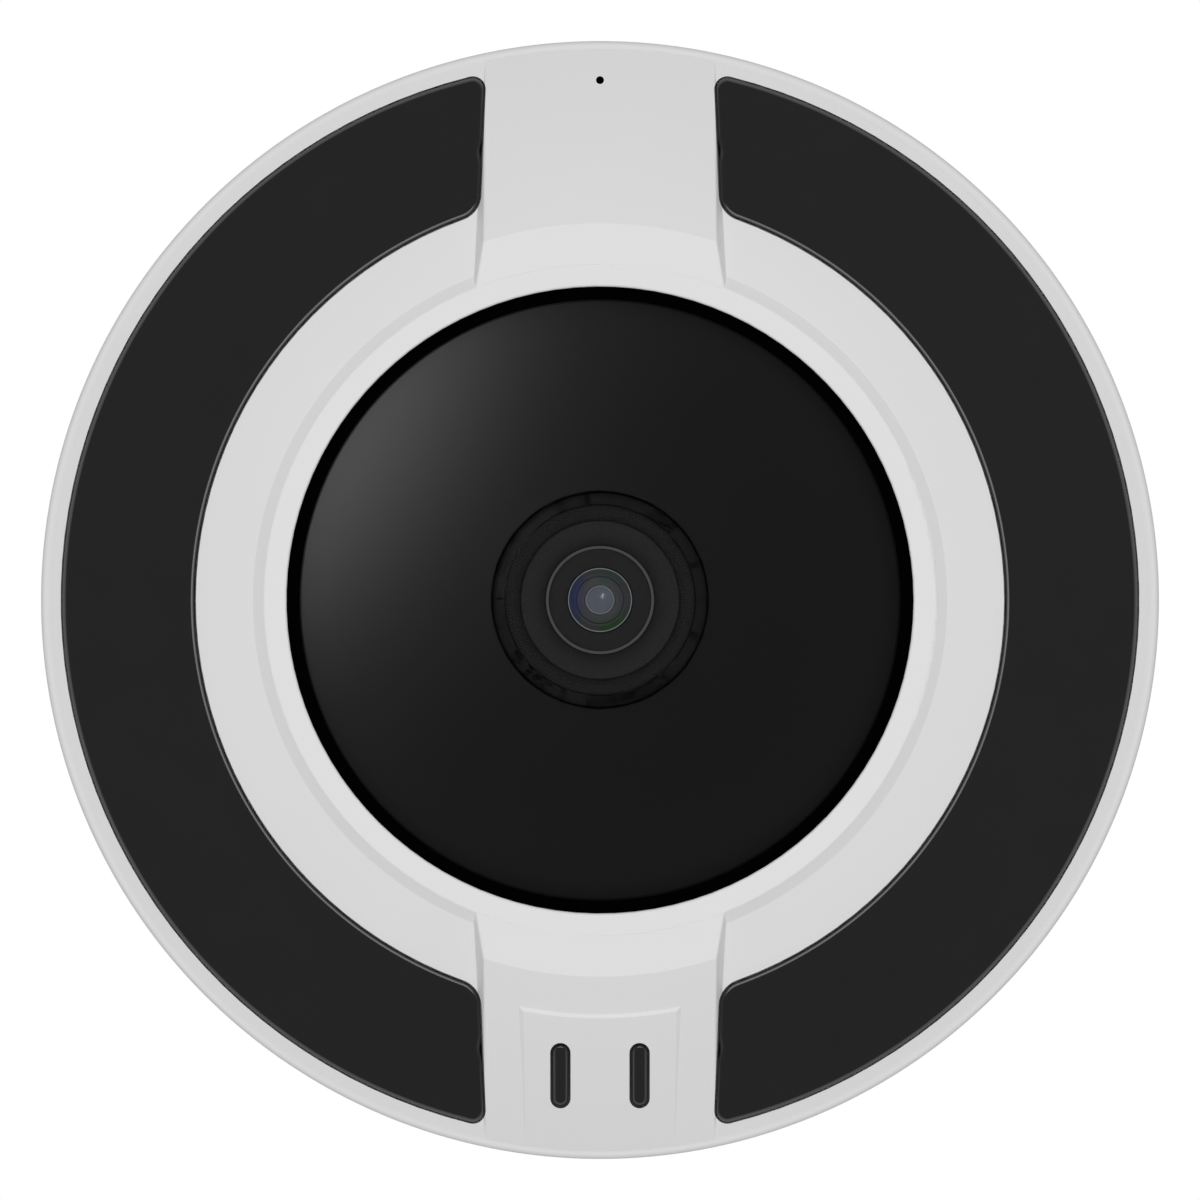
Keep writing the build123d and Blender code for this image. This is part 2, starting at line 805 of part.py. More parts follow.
def front_cover():
    """Moulded cover: side wall, cone, flat ring, two raised bridges, window pockets and posts."""
    e = edge_round
    under = shell_wall / cone_lean
    seat_radius = dome_opening_radius + ring_seat_width
    seat_z = ring_z - ring_wall
    bore = cover_bore_radius
    outer_profile = Polyline(
        (bore, cone_z(bore) - under), (bore, cover_bottom), (cover_radius - e, cover_bottom),
        (cover_radius, cover_bottom + e), (cover_radius, rim_z - rim_round))
    rim_arc = TangentArc((cover_radius, rim_z - rim_round), (rim_radius, rim_z), tangent=(0, 1))
    ring_edge_high = (ring_outer_radius - e, ring_z)
    ring_edge_low = (ring_outer_radius + e * 0.7, ring_z - e * 0.7)
    top_profile = Polyline(
        (rim_radius, rim_z), (ring_foot_radius + e, cone_z(ring_foot_radius + e)),
        (ring_foot_radius, cone_z(ring_foot_radius) + e * 0.4), ring_edge_low)
    ring_arc = ThreePointArc(
        ring_edge_low, (ring_outer_radius + e * 0.1, ring_z - e * 0.18), ring_edge_high)
    bore_arc = ThreePointArc(
        (dome_opening_radius + e, ring_z), (dome_opening_radius + e * 0.29, ring_z - e * 0.29),
        (dome_opening_radius, ring_z - e))
    ring_top = Line(ring_edge_high, (dome_opening_radius + e, ring_z))
    inner_profile = Polyline(
        (dome_opening_radius, ring_z - e), (dome_opening_radius, seat_z), (seat_radius, seat_z),
        (seat_radius, cone_z(seat_radius) - under), (bore, cone_z(bore) - under))
    edges = [outer_profile, rim_arc, top_profile, ring_arc, ring_top, bore_arc, inner_profile]
    face = Plane.XZ * make_face(Curve() + edges)
    cover = revolve(face, Axis.Z)

    upper = bridge()
    cover = cover + upper
    cover = cover + mirror(upper, about=Plane.XZ)
    cover = cover + mirror(raised_panel(), about=Plane.XZ)

    pocket_floor = window_proud - window_thickness - window_seal_thickness
    frame_floor = pocket_floor - ledge_thickness
    frame = tall(window_outline(window_gap + window_frame_wall)) & cone_layer(-shell_wall / 2, frame_floor)
    frame = frame & disc(cover_radius - shell_wall / 2, 0, rim_z + cover_radius)
    pocket = tall(window_outline(window_gap)) & cone_layer(window_thickness, pocket_floor)
    opening = tall(window_outline(-ledge_width))
    for part_frame, part_pocket, part_opening in (
            (frame, pocket, opening), (left_of(frame), left_of(pocket), left_of(opening))):
        cover = cover + part_frame
        cover = cover - part_pocket
        cover = cover - part_opening

    post_low = floor_top + cover_boss_height + cover_post_gap
    for place in cover_screw_places():
        distance = sqrt(place[0] ** 2 + place[1] ** 2)
        post_high = cone_z(distance + cover_post_radius) - shell_wall / 2
        post = disc(cover_post_radius, post_low, post_high, place)
        hole_top = floor_top + cover_boss_height + cover_screw_thread_length + 1
        hole = disc(cover_screw_shank_radius + thread_play, post_low - 1, hole_top, place)
        cover = cover + post
        cover = cover - hole
    ear_top = dome_skirt_low + ear_thickness
    for number in range(ear_count):
        place = around(ear_screw_circle_radius, ear_first_angle + number * 360.0 / ear_count)
        post_high = cone_z(ear_screw_circle_radius + ear_post_radius) - shell_wall / 2
        cover = cover + disc(ear_post_radius, ear_top + ear_gap, post_high, place)
        cover = cover - disc(fine_screw_radius, ear_top - 1, ear_top + fine_screw_grip + 0.4, place)
    for side in (-1, 1):
        cover = cover - tall(pill(slot_gap, side))
    cover = cover - disc(microphone_hole_radius, floor_top, ring_z, (0, microphone_hole_place))
    return cover


def slot_insert(side):
    """Dark insert in a slot, with a flange behind the cover."""
    inner = slot_near - slot_length
    outer = slot_near + 2 * slot_length
    under = shell_wall / cone_lean + slot_insert_gap
    flange_depth = under + slot_insert_flange_thickness
    body_layer = turned([
        (inner, cone_z(inner) - flange_depth), (outer, cone_z(outer) - flange_depth),
        (outer, panel_z(outer) - slot_insert_sunk), (inner, panel_z(inner) - slot_insert_sunk),
    ])
    flange_layer = turned([
        (inner, cone_z(inner) - flange_depth), (outer, cone_z(outer) - flange_depth),
        (outer, cone_z(outer) - under), (inner, cone_z(inner) - under),
    ])
    body = (tall(pill(0.0, side)) & body_layer).solids()[0]
    face = body.faces().sort_by(Axis.Z)[-1]
    body = chamfer(face.edges(), slot_insert_chamfer)
    return body + (tall(pill(slot_insert_flange, side)) & flange_layer)


# Black dome

dome_centre_z = dome_edge_z - sqrt(dome_sphere_radius ** 2 - dome_edge_radius ** 2)
bubble_centre_z = ring_z + bubble_stand - bubble_radius
flange_high = bubble_centre_z - bubble_neck
flange_low = flange_high - bubble_flange_thickness
bubble_hole_radius = bubble_radius + bubble_clearance
seat_z_in = flange_high + bubble_seal_thickness
boss_low = flange_low + bubble_boss_gap


def sphere_z(radius, sphere):
    """Height of a sphere about the dome's centre at a distance from the axis."""
    return dome_centre_z + sqrt(sphere ** 2 - radius ** 2)


def dome_shroud():
    """Black dome with a skirt, a flange under the cover's ring, four ears and a seat for the bubble."""
    inner_sphere = dome_sphere_radius - dome_wall
    skirt_bore = dome_edge_radius - dome_skirt_wall
    skirt_low = dome_skirt_low
    seat_ceiling = ring_z - ring_wall - dome_seal_thickness
    flange_radius = dome_edge_radius + dome_gap + dome_flange
    hole_top = sphere_z(bubble_hole_radius, dome_sphere_radius)
    inner_edge = skirt_bore - dome_skirt_wall
    pocket_radius = bubble_pocket_radius
    boss_top = sphere_z(bubble_boss_radius, inner_sphere)
    start = dome_edge_radius - dome_edge_round
    dome_start = (start, sphere_z(start, dome_sphere_radius))
    lines = [
        Polyline((inner_edge, sphere_z(inner_edge, inner_sphere)),
                 (skirt_bore, sphere_z(inner_edge, inner_sphere) - dome_skirt_wall),
                 (skirt_bore, skirt_low), (dome_edge_radius, skirt_low),
                 (dome_edge_radius, seat_ceiling - dome_flange_thickness),
                 (flange_radius, seat_ceiling - dome_flange_thickness),
                 (flange_radius, seat_ceiling), (dome_edge_radius, seat_ceiling),
                 (dome_edge_radius, dome_edge_z - dome_edge_round),
                 dome_start),
        ThreePointArc(dome_start,
                      (bubble_boss_radius, sphere_z(bubble_boss_radius, dome_sphere_radius)),
                      (bubble_hole_radius, hole_top)),
        Polyline((bubble_hole_radius, hole_top), (bubble_hole_radius, seat_z_in),
                 (pocket_radius, seat_z_in), (pocket_radius, boss_low), (bubble_boss_radius, boss_low),
                 (bubble_boss_radius, boss_top)),
        ThreePointArc((bubble_boss_radius, boss_top),
                      ((bubble_boss_radius + inner_edge) / 2,
                       sphere_z((bubble_boss_radius + inner_edge) / 2, inner_sphere)),
                      (inner_edge, sphere_z(inner_edge, inner_sphere))),
    ]
    dome = revolve(Plane.XZ * make_face(Curve() + lines), Axis.Z)
    ear_outer = dome_edge_radius + ear_reach
    for number in range(ear_count):
        middle = ear_first_angle + number * 360.0 / ear_count
        inner = skirt_bore + dome_skirt_wall / 2
        dome = dome + sector(inner, ear_outer, skirt_low, skirt_low + ear_thickness, middle, ear_half_angle)
        dome = dome - disc(fine_screw_radius, skirt_low - 1, skirt_low + ear_thickness + 1,
                           around(ear_screw_circle_radius, middle))
        dome = dome - disc(fine_screw_radius, boss_low - 1, boss_low + fine_screw_grip,
                           around(retainer_screw_circle_radius, middle))
    return dome


def shroud_seal():
    """Flat gasket between the dome's flange and the cover's ring."""
    high = ring_z - ring_wall
    outer = dome_edge_radius + dome_gap + dome_flange
    return tube(outer, outer - dome_seal_width, high - dome_seal_thickness, high)


def fine_screw(head_low, place, grip):
    """A small pan-head screw that points outwards from the wall."""
    head = disc(fine_screw_head_radius, head_low, head_low + fine_screw_head_height, place)
    shank = disc(fine_screw_radius, head_low, head_low + fine_screw_head_height + grip, place)
    arm = slab(place[0] - 1.1, place[0] + 1.1, place[1] - 0.2, place[1] + 0.2, head_low, head_low + 0.7)
    other = slab(place[0] - 0.2, place[0] + 0.2, place[1] - 1.1, place[1] + 1.1, head_low, head_low + 0.7)
    return head + shank - arm - other


def shroud_screws():
    """Eight alike screws: four in the ears of the dome and four in the bubble's retaining ring."""
    ear_head = dome_skirt_low - fine_screw_head_height
    ring_head = flange_low - retainer_thickness - fine_screw_head_height
    screws = []
    for number in range(ear_count):
        angle = ear_first_angle + number * 360.0 / ear_count
        place = around(ear_screw_circle_radius, angle)
        screws.append(fine_screw(ear_head, place, ear_thickness + fine_screw_grip - 0.3))
        place = around(retainer_screw_circle_radius, angle)
        screws.append(fine_screw(ring_head, place, retainer_thickness + fine_screw_grip - 0.3))
    return gathered(screws)


# Clear bubble

def lens_bubble():
    """Clear half sphere on a short neck with a flange."""
    outer = bubble_radius
    inner = bubble_radius - bubble_wall
    c = bubble_centre_z
    half = sqrt(0.5)
    lines = [
        ThreePointArc((0, c + outer), (outer * half, c + outer * half), (outer, c)),
        Polyline((outer, c), (outer, flange_high), (bubble_flange_radius, flange_high),
                 (bubble_flange_radius, flange_low), (inner, flange_low), (inner, c)),
        ThreePointArc((inner, c), (inner * half, c + inner * half), (0, c + inner)),
        Line((0, c + inner), (0, c + outer)),
    ]
    return revolve(Plane.XZ * make_face(Curve() + lines), Axis.Z)


def bubble_seal():
    """Gasket between the bubble's flange and its seat."""
    outer = bubble_hole_radius + bubble_seal_width + 0.5
    return tube(outer, outer - bubble_seal_width, flange_high, seat_z_in)


def bubble_retainer():
    """Ring that clamps the bubble's flange."""
    ring = tube(bubble_boss_radius, retainer_bore_radius, flange_low - retainer_thickness, flange_low)
    for number in range(ear_count):
        place = around(retainer_screw_circle_radius, ear_first_angle + number * 360.0 / ear_count)
        ring = ring - disc(fine_screw_radius, 0, ring_z + bubble_stand, place)
    return ring


# Boards

def main_board():
    """Round board with a notch for the incoming cable."""
    board = disc(main_board_radius, board_z, board_top)
    notch = slab(-board_notch_half_width, board_notch_half_width, -main_board_radius - 1,
                 -board_notch_start, board_z - 1, board_top + 1)
    board = board - notch
    for place in board_screw_places():
        board = board - disc(small_screw_radius, board_z - 1, board_top + 1, place)
    for place in pillar_places():
        board = board - disc(pillar_radius + pillar_hole_play, board_z - 1, board_top + 1, place)
    for place in carrier_screw_places():
        board = board - disc(carrier_boss_radius + board_boss_play, board_z - 1, board_top + 1, place)
    return board


def pan_screw(seat, place):
    """A pan-head screw that is driven towards the wall."""
    head = disc(small_screw_head_radius, seat, seat + small_screw_head_height, place)
    shank = disc(small_screw_radius, seat - small_screw_grip, seat + 0.1, place)
    top = seat + small_screw_head_height
    arm = slab(place[0] - 1.3, place[0] + 1.3, place[1] - 0.25, place[1] + 0.25, top - 0.8, top)
    other = slab(place[0] - 0.25, place[0] + 0.25, place[1] - 1.3, place[1] + 1.3, top - 0.8, top)
    return head + shank - arm - other


def chassis_screws():
    """Twelve alike screws: four in the main board and eight in the lamp boards and their carrier."""
    screws = []
    for place in board_screw_places():
        screws.append(pan_screw(board_top, place))
    for place in carrier_screw_places():
        screws.append(pan_screw(lamp_board_top, place))
    return gathered(screws)


def processor():
    """Main chip on the underside of the board."""
    half = processor_side / 2
    x, y = processor_place
    return slab(x - half, x + half, y - half, y + half, board_z - processor_thickness, board_z)


def thermal_pad():
    """Soft pad that takes the chip's heat into the housing."""
    half = processor_side / 2
    x, y = processor_place
    high = board_z - processor_thickness
    return slab(x - half, x + half, y - half, y + half, high - thermal_pad_thickness, high)


def network_jack():
    """Network socket on the board, open towards the bottom of the camera."""
    right = jack_left + jack_width
    high = board_top + jack_height
    shell = slab(jack_left, right, jack_low, jack_low + jack_length, board_top, high)
    mouth_low = board_top + jack_wall
    mouth = slab(jack_left + jack_wall, right - jack_wall, jack_low - 1, jack_low + jack_mouth_depth,
                 mouth_low, mouth_low + jack_mouth_height)
    latch = slab(jack_left + jack_width / 2 - 3, jack_left + jack_width / 2 + 3, jack_low - 1,
                 jack_low + jack_mouth_depth, mouth_low + jack_mouth_height - 0.5, high - 1.2)
    return shell - mouth - latch


def terminal_block():
    """Two-way power terminal with wire holes and screw wells."""
    x, y = terminal_place
    left = x - terminal_width / 2
    low = y - terminal_length / 2
    high = board_top + terminal_height
    block = slab(left, left + terminal_width, low, low + terminal_length, board_top, high)
    for side in (-1, 1):
        centre = x + side * terminal_width / 4
        wire = disc(terminal_hole_radius, 0, terminal_wire_depth)
        block = block - Pos(centre, low, board_top + terminal_wire_height) * Rot(-90, 0, 0) * wire
        block = block - disc(terminal_hole_radius, high - terminal_screw_depth, high + 1, (centre, y))
    return block


def card_socket():
    """Push-push socket for a memory card, open towards the right."""
    left = card_socket_left
    low = card_socket_low
    right = left + card_socket_length
    high = board_top + card_socket_height
    shell = slab(left, right, low, low + card_socket_width, board_top, high)
    middle = low + card_socket_width / 2
    half = card_width / 2 + card_play
    slot_low = board_top + socket_floor
    slot_high = slot_low + card_thickness + 2 * card_play
    return shell - slab(left + socket_end_wall, right + 1, middle - half, middle + half, slot_low, slot_high)


def memory_card():
    """Memory card, seated in its socket with a cut corner and a finger ridge."""
    left = card_socket_left + socket_end_wall + card_push_gap + card_push_travel
    right = left + card_length
    middle = card_socket_low + card_socket_width / 2
    half = card_width / 2
    low = board_top + socket_floor + card_play
    notch_side = middle + half - card_notch_depth
    outline = make_face(Polyline(
        (left, middle - half), (right, middle - half), (right, middle + half),
        (left + card_notch_length, middle + half),
        (left + card_notch_length - card_notch_depth, notch_side), (left, notch_side), close=True))
    card = Pos(0, 0, low) * extrude(outline, card_thickness)
    high = low + card_thickness
    ridge_half = half - 1
    ridge = slab(right - 1.0, right - 0.4, middle - ridge_half, middle + ridge_half,
                 high - 0.1, high + card_ridge)
    return card + ridge


def power_transformer():
    """Power transformer: a wound bobbin between the halves of its core."""
    x, y = transformer_place
    half_x = transformer_width / 2
    half_y = transformer_length / 2
    high = board_top + transformer_height
    core = slab(x - half_x, x + half_x, y - half_y, y + half_y, board_top, high)
    left = x - half_x + transformer_core
    right = x + half_x - transformer_core
    low = board_top + transformer_core
    top = high - transformer_core
    near = y - half_y + transformer_recess
    far = y + half_y - transformer_recess
    core = core - slab(left, right, y - half_y - 1, near, low, top)
    return core - slab(left, right, far, y + half_y + 1, low, top)


def capacitors():
    """Three standing capacitors with a groove near the foot."""
    cans = []
    for place in capacitor_places:
        can = disc(capacitor_radius, board_top, board_top + capacitor_height, place)
        groove = disc(capacitor_radius + 1, board_top + 1.6, board_top + 2.2, place)
        groove = groove - disc(capacitor_radius - 0.4, board_top + 1.6, board_top + 2.2, place)
        cans.append(can - groove)
    return gathered(cans)


def reset_switch_base():
    """Body of the reset switch."""
    x, y = reset_place
    half = reset_side / 2
    high = board_top + reset_body_height
    body = slab(x - half, x + half, y - half, y + half, board_top, high)
    bore = reset_plunger_radius + reset_plunger_play
    return body - disc(bore, high - reset_bore_depth, high + 1, reset_place)


def reset_plunger():
    """Round plunger of the reset switch."""
    high = board_top + reset_body_height
    low = high - reset_bore_depth + reset_travel + reset_bottom_gap
    return disc(reset_plunger_radius, low, high + reset_plunger_stand, reset_place)


def sensor_board():
    """Board that carries the image sensor and the lens holder."""
    low = pillar_low - sensor_board_margin
    high = pillar_high + sensor_board_margin
    half = sensor_board_half_width
    board = slab(-half, half, low, high, sensor_board_z, sensor_board_top)
    for place in pillar_places():
        board = board - disc(small_screw_radius, sensor_board_z - 1, sensor_board_top + 1, place)
    return board


def board_pillars():
    """Four brass pillars with a stud through the sensor board and a nut on it."""
    pillars = []
    for place in pillar_places():
        body = Pos(place[0], place[1], floor_top) * extrude(RegularPolygon(pillar_radius, 6), pillar_height)
        stud = disc(small_screw_radius, sensor_board_z - 1, sensor_board_top + 2.4, place)
        nut = Pos(place[0], place[1], sensor_board_top) * extrude(RegularPolygon(2.4, 6), 1.6)
        pillars.append(body + stud + nut)
    return gathered(pillars)


def image_sensor():
    """Image sensor in its ceramic carrier."""
    low = sensor_board_top
    carrier = slab(-sensor_half_width, sensor_half_width, -sensor_half_height, sensor_half_height,
                   low, low + sensor_thickness)
    recess = slab(-sensor_half_width + 0.8, sensor_half_width - 0.8, -sensor_half_height + 0.8,
                  sensor_half_height - 0.8, low + sensor_thickness - 0.3, low + sensor_thickness + 1)
    return carrier - recess


def flex_connectors():
    """The ribbon's two connectors, one on each board."""
    near = ribbon_bend_y
    half = connector_half_width
    low_ribbon = board_top + connector_height / 2
    high_ribbon = sensor_board_z - connector_height / 2
    pair = []
    for low, ribbon in ((board_top, low_ribbon), (sensor_board_z - connector_height, high_ribbon)):
        block = slab(-half, half, near, near + connector_length, low, low + connector_height)
        slot = slab(-ribbon_half_width, ribbon_half_width, near - 1, near + ribbon_tail,
                    ribbon - ribbon_thickness / 2, ribbon + ribbon_thickness / 2)
        pair.append(block - slot)
    return gathered(pair)


def flex_cable():
    """Flat ribbon that bends once between the two boards."""
    low_ribbon = board_top + connector_height / 2
    high_ribbon = sensor_board_z - connector_height / 2
    middle = (low_ribbon + high_ribbon) / 2
    bend = (high_ribbon - low_ribbon) / 2
    half = ribbon_thickness / 2
    inner = bend - half
    outer = bend + half
    near = ribbon_bend_y
    tail = near + ribbon_tail
    lines = [
        Polyline((tail, low_ribbon + half), (tail, low_ribbon - half), (near, middle - outer)),
        ThreePointArc((near, middle - outer), (near - outer, middle), (near, middle + outer)),
        Polyline((near, middle + outer), (tail, high_ribbon + half), (tail, high_ribbon - half),
                 (near, middle + inner)),
        ThreePointArc((near, middle + inner), (near - inner, middle), (near, middle - inner)),
        Line((near, middle - inner), (tail, low_ribbon + half)),
    ]
    face = Plane.YZ * make_face(Curve() + lines)
    return Pos(-ribbon_half_width, 0, 0) * extrude(face, 2 * ribbon_half_width)


# Lens holder with the filter changer

channel_low = sensor_board_top + carriage_lift - carriage_floor_play
carriage_low = sensor_board_top + carriage_lift
carriage_high = carriage_low + carriage_thickness
channel_high = carriage_high + carriage_roof_play
arm_low = channel_high + arm_gap
arm_high = arm_low + arm_thickness
bay_high = arm_high + arm_roof_gap
mount_high = bay_high + mount_roof
carriage_half_length = filter_pitch / 2 + filter_side / 2 + carriage_end_wall
channel_half_length = filter_pitch / 2 + carriage_half_length + channel_end_play
coil_place_y = arm_pivot_height + rotor_radius + coil_gap + coil_radius
bay_far = coil_place_y + coil_radius + 0.4
fork_tip = carriage_half_width + fork_length
arm_swing = asin(filter_pitch / 2 / arm_length)
arm_tip = (-arm_length * sin(arm_swing), arm_pivot_height - arm_length * cos(arm_swing))


def lens_mount():
    """Moulded holder: thread for the lens, channel for the filter carriage and bay for its motor."""
    low = sensor_board_top
    body = slab(-mount_half_length, mount_half_length, -mount_half_width, mount_half_width, low, mount_high)
    body = body + slab(-bay_half_width, bay_half_width, 0, bay_far + bay_wall, low, mount_high)
    body = body + disc(boss_radius, mount_high - mount_roof, mount_high + boss_height)
    sensor_bay = carriage_half_width - 0.8
    half = channel_half_length
    body = body - slab(-half, half, -sensor_bay, sensor_bay, low - 1, channel_low + 0.01)
    side = carriage_half_width + carriage_side_play
    body = body - slab(-mount_half_length - 1, half, -side, side, channel_low, channel_high)
    fork_side = filter_pitch / 2 + fork_half_width + 0.6
    bay_near = fork_tip + 0.7
    body = body - slab(-fork_side, fork_side, side - 0.1, bay_near, channel_low, bay_high)
    reach = arm_pivot_height - arm_length - arm_half_width - 0.4
    body = body - slab(-fork_side, fork_side, reach, bay_near, channel_high - 0.01, bay_high)
    bay_side = bay_half_width - bay_wall
    body = body - slab(-bay_side, bay_side, bay_near - 0.01, bay_far, low - 1, bay_high)
    thread_bore = lens_thread_radius + lens_thread_play
    body = body - disc(thread_bore, channel_high - 0.01, mount_high + boss_height + 1)
    body = body - disc(pivot_radius + pivot_play, bay_high - 1, mount_high + 1, (0, arm_pivot_height))
    return body


def filter_frame():
    """Sliding carriage with two filter seats and a fork for the arm's pin."""
    centre = -filter_pitch / 2
    half = carriage_half_length
    side = carriage_half_width
    low = carriage_low
    high = carriage_high
    frame = slab(centre - half, centre + half, -side, side, low, high)
    frame = frame + slab(centre - fork_half_width, centre + fork_half_width, side - 0.5, fork_tip, low, high)
    seat = filter_side / 2
    hole = seat - filter_ledge
    seat_low = low + filter_ledge_thickness
    for turn in (-1, 1):
        x = centre + turn * filter_pitch / 2
        frame = frame - slab(x - hole, x + hole, -hole, hole, low - 1, high + 1)
        frame = frame - slab(x - seat, x + seat, -seat, seat, seat_low, high + 1)
    gap = pin_radius + pin_slot_play
    slot_end = arm_pivot_height - arm_length - gap
    return frame - slab(centre - gap, centre + gap, slot_end, fork_tip + 1, low - 1, high + 1)


def filter_glass(side):
    """One square filter in its seat."""
    x = -filter_pitch / 2 + side * filter_pitch / 2
    half = filter_side / 2
    low = carriage_low + filter_ledge_thickness
    return slab(x - half, x + half, -half, half, low, low + filter_thickness)


def filter_arm():
    """Arm on its pivot pin, with the drive pin at its tip."""
    pivot = (0, arm_pivot_height)
    hub = disc(arm_half_width + 0.7, arm_low, arm_high, pivot)
    tip = disc(arm_half_width, arm_low, arm_high, arm_tip)
    blade = slab(-arm_half_width, arm_half_width, -arm_length, 0, arm_low, arm_high)
    blade = Pos(0, arm_pivot_height, 0) * Rot(0, 0, -degrees(arm_swing)) * blade
    arm = hub + tip + blade
    pin = disc(pin_radius, carriage_low + 0.1, arm_low + 0.1, arm_tip)
    shaft = disc(pivot_radius, sensor_board_top + 0.3, mount_high - 0.2, pivot)
    return arm + pin + shaft


def rotor_magnet():
    """Magnet ring on the arm's pivot pin."""
    low = sensor_board_top + 0.05 + yoke_base + rotor_gap
    pivot = (0, arm_pivot_height)
    return disc(rotor_radius, low, arm_low - 0.3, pivot) - disc(pivot_radius, low - 1, arm_low, pivot)


def filter_coil():
    """Coil and yoke that turn the magnet."""
    low = sensor_board_top + 0.05
    base_top = low + yoke_base
    inner = rotor_radius + yoke_gap
    outer = inner + yoke_width
    near = arm_pivot_height - rotor_radius
    far = coil_place_y + coil_radius - coil_sink
    top = arm_low - 0.25
    yoke = slab(-outer, outer, near, far, low, base_top)
    yoke = yoke - disc(pivot_radius + pivot_play, low - 1, base_top + 1, (0, arm_pivot_height))
    for side in (-1, 1):
        left = min(side * inner, side * outer)
        yoke = yoke + slab(left, left + yoke_width, near, far, low, top)
    coil = Cylinder(coil_radius, 2 * (inner + coil_sink))
    middle = base_top + coil_radius - coil_sink
    return yoke + Pos(0, coil_place_y, middle) * Rot(0, 90, 0) * coil


# Lens

head_low = mount_high + lens_head_start
head_high = head_low + lens_head_height
lens_tail = bay_high + lens_tail_gap
collar_step = mount_high + collar_seat_height


def lens_collar():
    """Dark collar round the lens, seated on the holder."""
    high = mount_high + collar_height
    wide = boss_radius + collar_play
    tight = lens_head_radius + collar_play
    edge = 0.3
    return turned([
        (wide, mount_high), (collar_radius, mount_high), (collar_radius, high - edge),
        (collar_radius - edge, high), (tight, high), (tight, collar_step), (wide, collar_step),
    ])


def lens_barrel():
    """Threaded barrel with a wider head whose front lip is turned bright."""
    trim_bore = lens_head_radius - lens_head_lip
    seat = head_high - trim_thickness - trim_slope_drop / 2
    front = front_element_radius
    return turned([
        (rear_group_radius, lens_tail), (lens_thread_radius, lens_tail), (lens_thread_radius, head_low),
        (lens_head_radius, head_low), (lens_head_radius, head_high - lip_chamfer),
        (lens_head_radius - lip_chamfer, head_high),
        (trim_bore, head_high), (trim_bore, seat), (front, seat), (front, head_low + head_floor),
        (rear_group_radius, head_low + head_floor),
    ])


def lens_retaining_ring():
    """Black cone-shaped ring between the barrel's lip and the front element."""
    outer = lens_head_radius - lens_head_lip
    seat = head_high - trim_thickness - trim_slope_drop / 2
    return turned([
        (front_element_radius, seat), (outer, seat), (outer, head_high - trim_slope_drop),
        (front_element_radius, head_high - 0.15),
    ])


def front_element():
    """Strongly curved front glass."""
    sphere = front_element_sphere_radius
    edge = front_element_radius
    sag = sphere - sqrt(sphere ** 2 - edge ** 2)
    top = head_high + sag
    low = head_high - front_element_depth
    centre = top - sphere
    half = edge / 2
    lines = [
        ThreePointArc((0, top), (half, centre + sqrt(sphere ** 2 - half ** 2)), (edge, head_high)),
        Polyline((edge, head_high), (edge, low), (0, low), (0, top)),
    ]
    return revolve(Plane.XZ * make_face(Curve() + lines), Axis.Z)


def rear_lens_group():
    """Stack of small glasses behind the front element."""
    glasses = []
    span = (head_low + head_floor - lens_tail) / rear_group_count
    for number in range(rear_group_count):
        low = lens_tail + number * span + 0.2
        glasses.append(disc(rear_group_radius, low, low + span - rear_group_step))
    return gathered(glasses)


def lens_lock_ring():
    """Knurled ring that locks the lens in its thread."""
    low = mount_high + boss_height + lock_ring_gap
    high = low + lock_ring_thickness
    ring = tube(lock_ring_radius, lens_thread_radius, low, high)
    for number in range(8):
        ring = ring - disc(0.6, low - 1, high + 1, around(lock_ring_radius, number * 45.0))
    return ring


# Lamps

def lamp_carrier():
    """Flat ring on the housing's bosses that carries both lamp boards."""
    ring = tube(carrier_outer_radius, carrier_inner_radius, carrier_z, carrier_top)
    for place in cover_screw_places():
        ring = ring - disc(cover_post_radius + cover_post_hole_play, carrier_z - 1, carrier_top + 1, place)
    for place in carrier_screw_places():
        ring = ring - disc(small_screw_radius, carrier_z - 1, carrier_top + 1, place)
    return ring


def lamp_board():
    """Right lamp board, cut to the shape of its window."""
    board = Pos(0, 0, carrier_top) * extrude(window_outline(-lamp_board_inset), lamp_board_thickness)
    for place in carrier_screw_places():
        board = board - disc(small_screw_radius, carrier_top - 1, lamp_board_top + 1, place)
    return board


def lamp_places():
    """Places of the lamps on both boards."""
    right = [around(lamp_circle_radius, angle) for angle in lamp_angles]
    return right + [(-x, y) for x, y in right]


def infrared_lamps():
    """Six infrared lamps."""
    half = lamp_side / 2
    lamps = []
    high = lamp_board_top + lamp_height
    for x, y in lamp_places():
        lamps.append(slab(x - half, x + half, y - half, y + half, lamp_board_top, high))
    return gathered(lamps)


def lamp_optics():
    """Six clear caps that spread the lamps' light."""
    caps = []
    crown = (optic_radius ** 2 + (optic_height - optic_rim) ** 2) / (2 * (optic_height - optic_rim))
    for place in lamp_places():
        rim_top = lamp_board_top + optic_rim
        ball = Pos(place[0], place[1], lamp_board_top + optic_height - crown) * Sphere(crown)
        cap = disc(optic_radius, rim_top - 0.01, lamp_board_top + optic_height + 1, place) & ball
        cap = cap + disc(optic_radius, lamp_board_top, rim_top, place)
        hollow_top = lamp_board_top + lamp_height + lamp_gap
        hollow = disc(optic_radius - optic_wall, lamp_board_top - 1, hollow_top, place)
        caps.append(cap - hollow)
    return gathered(caps)


# Microphone and indicators

def microphone():
    """Small round microphone on the carrier."""
    return disc(capsule_radius, carrier_top, carrier_top + capsule_height, (0, capsule_place))


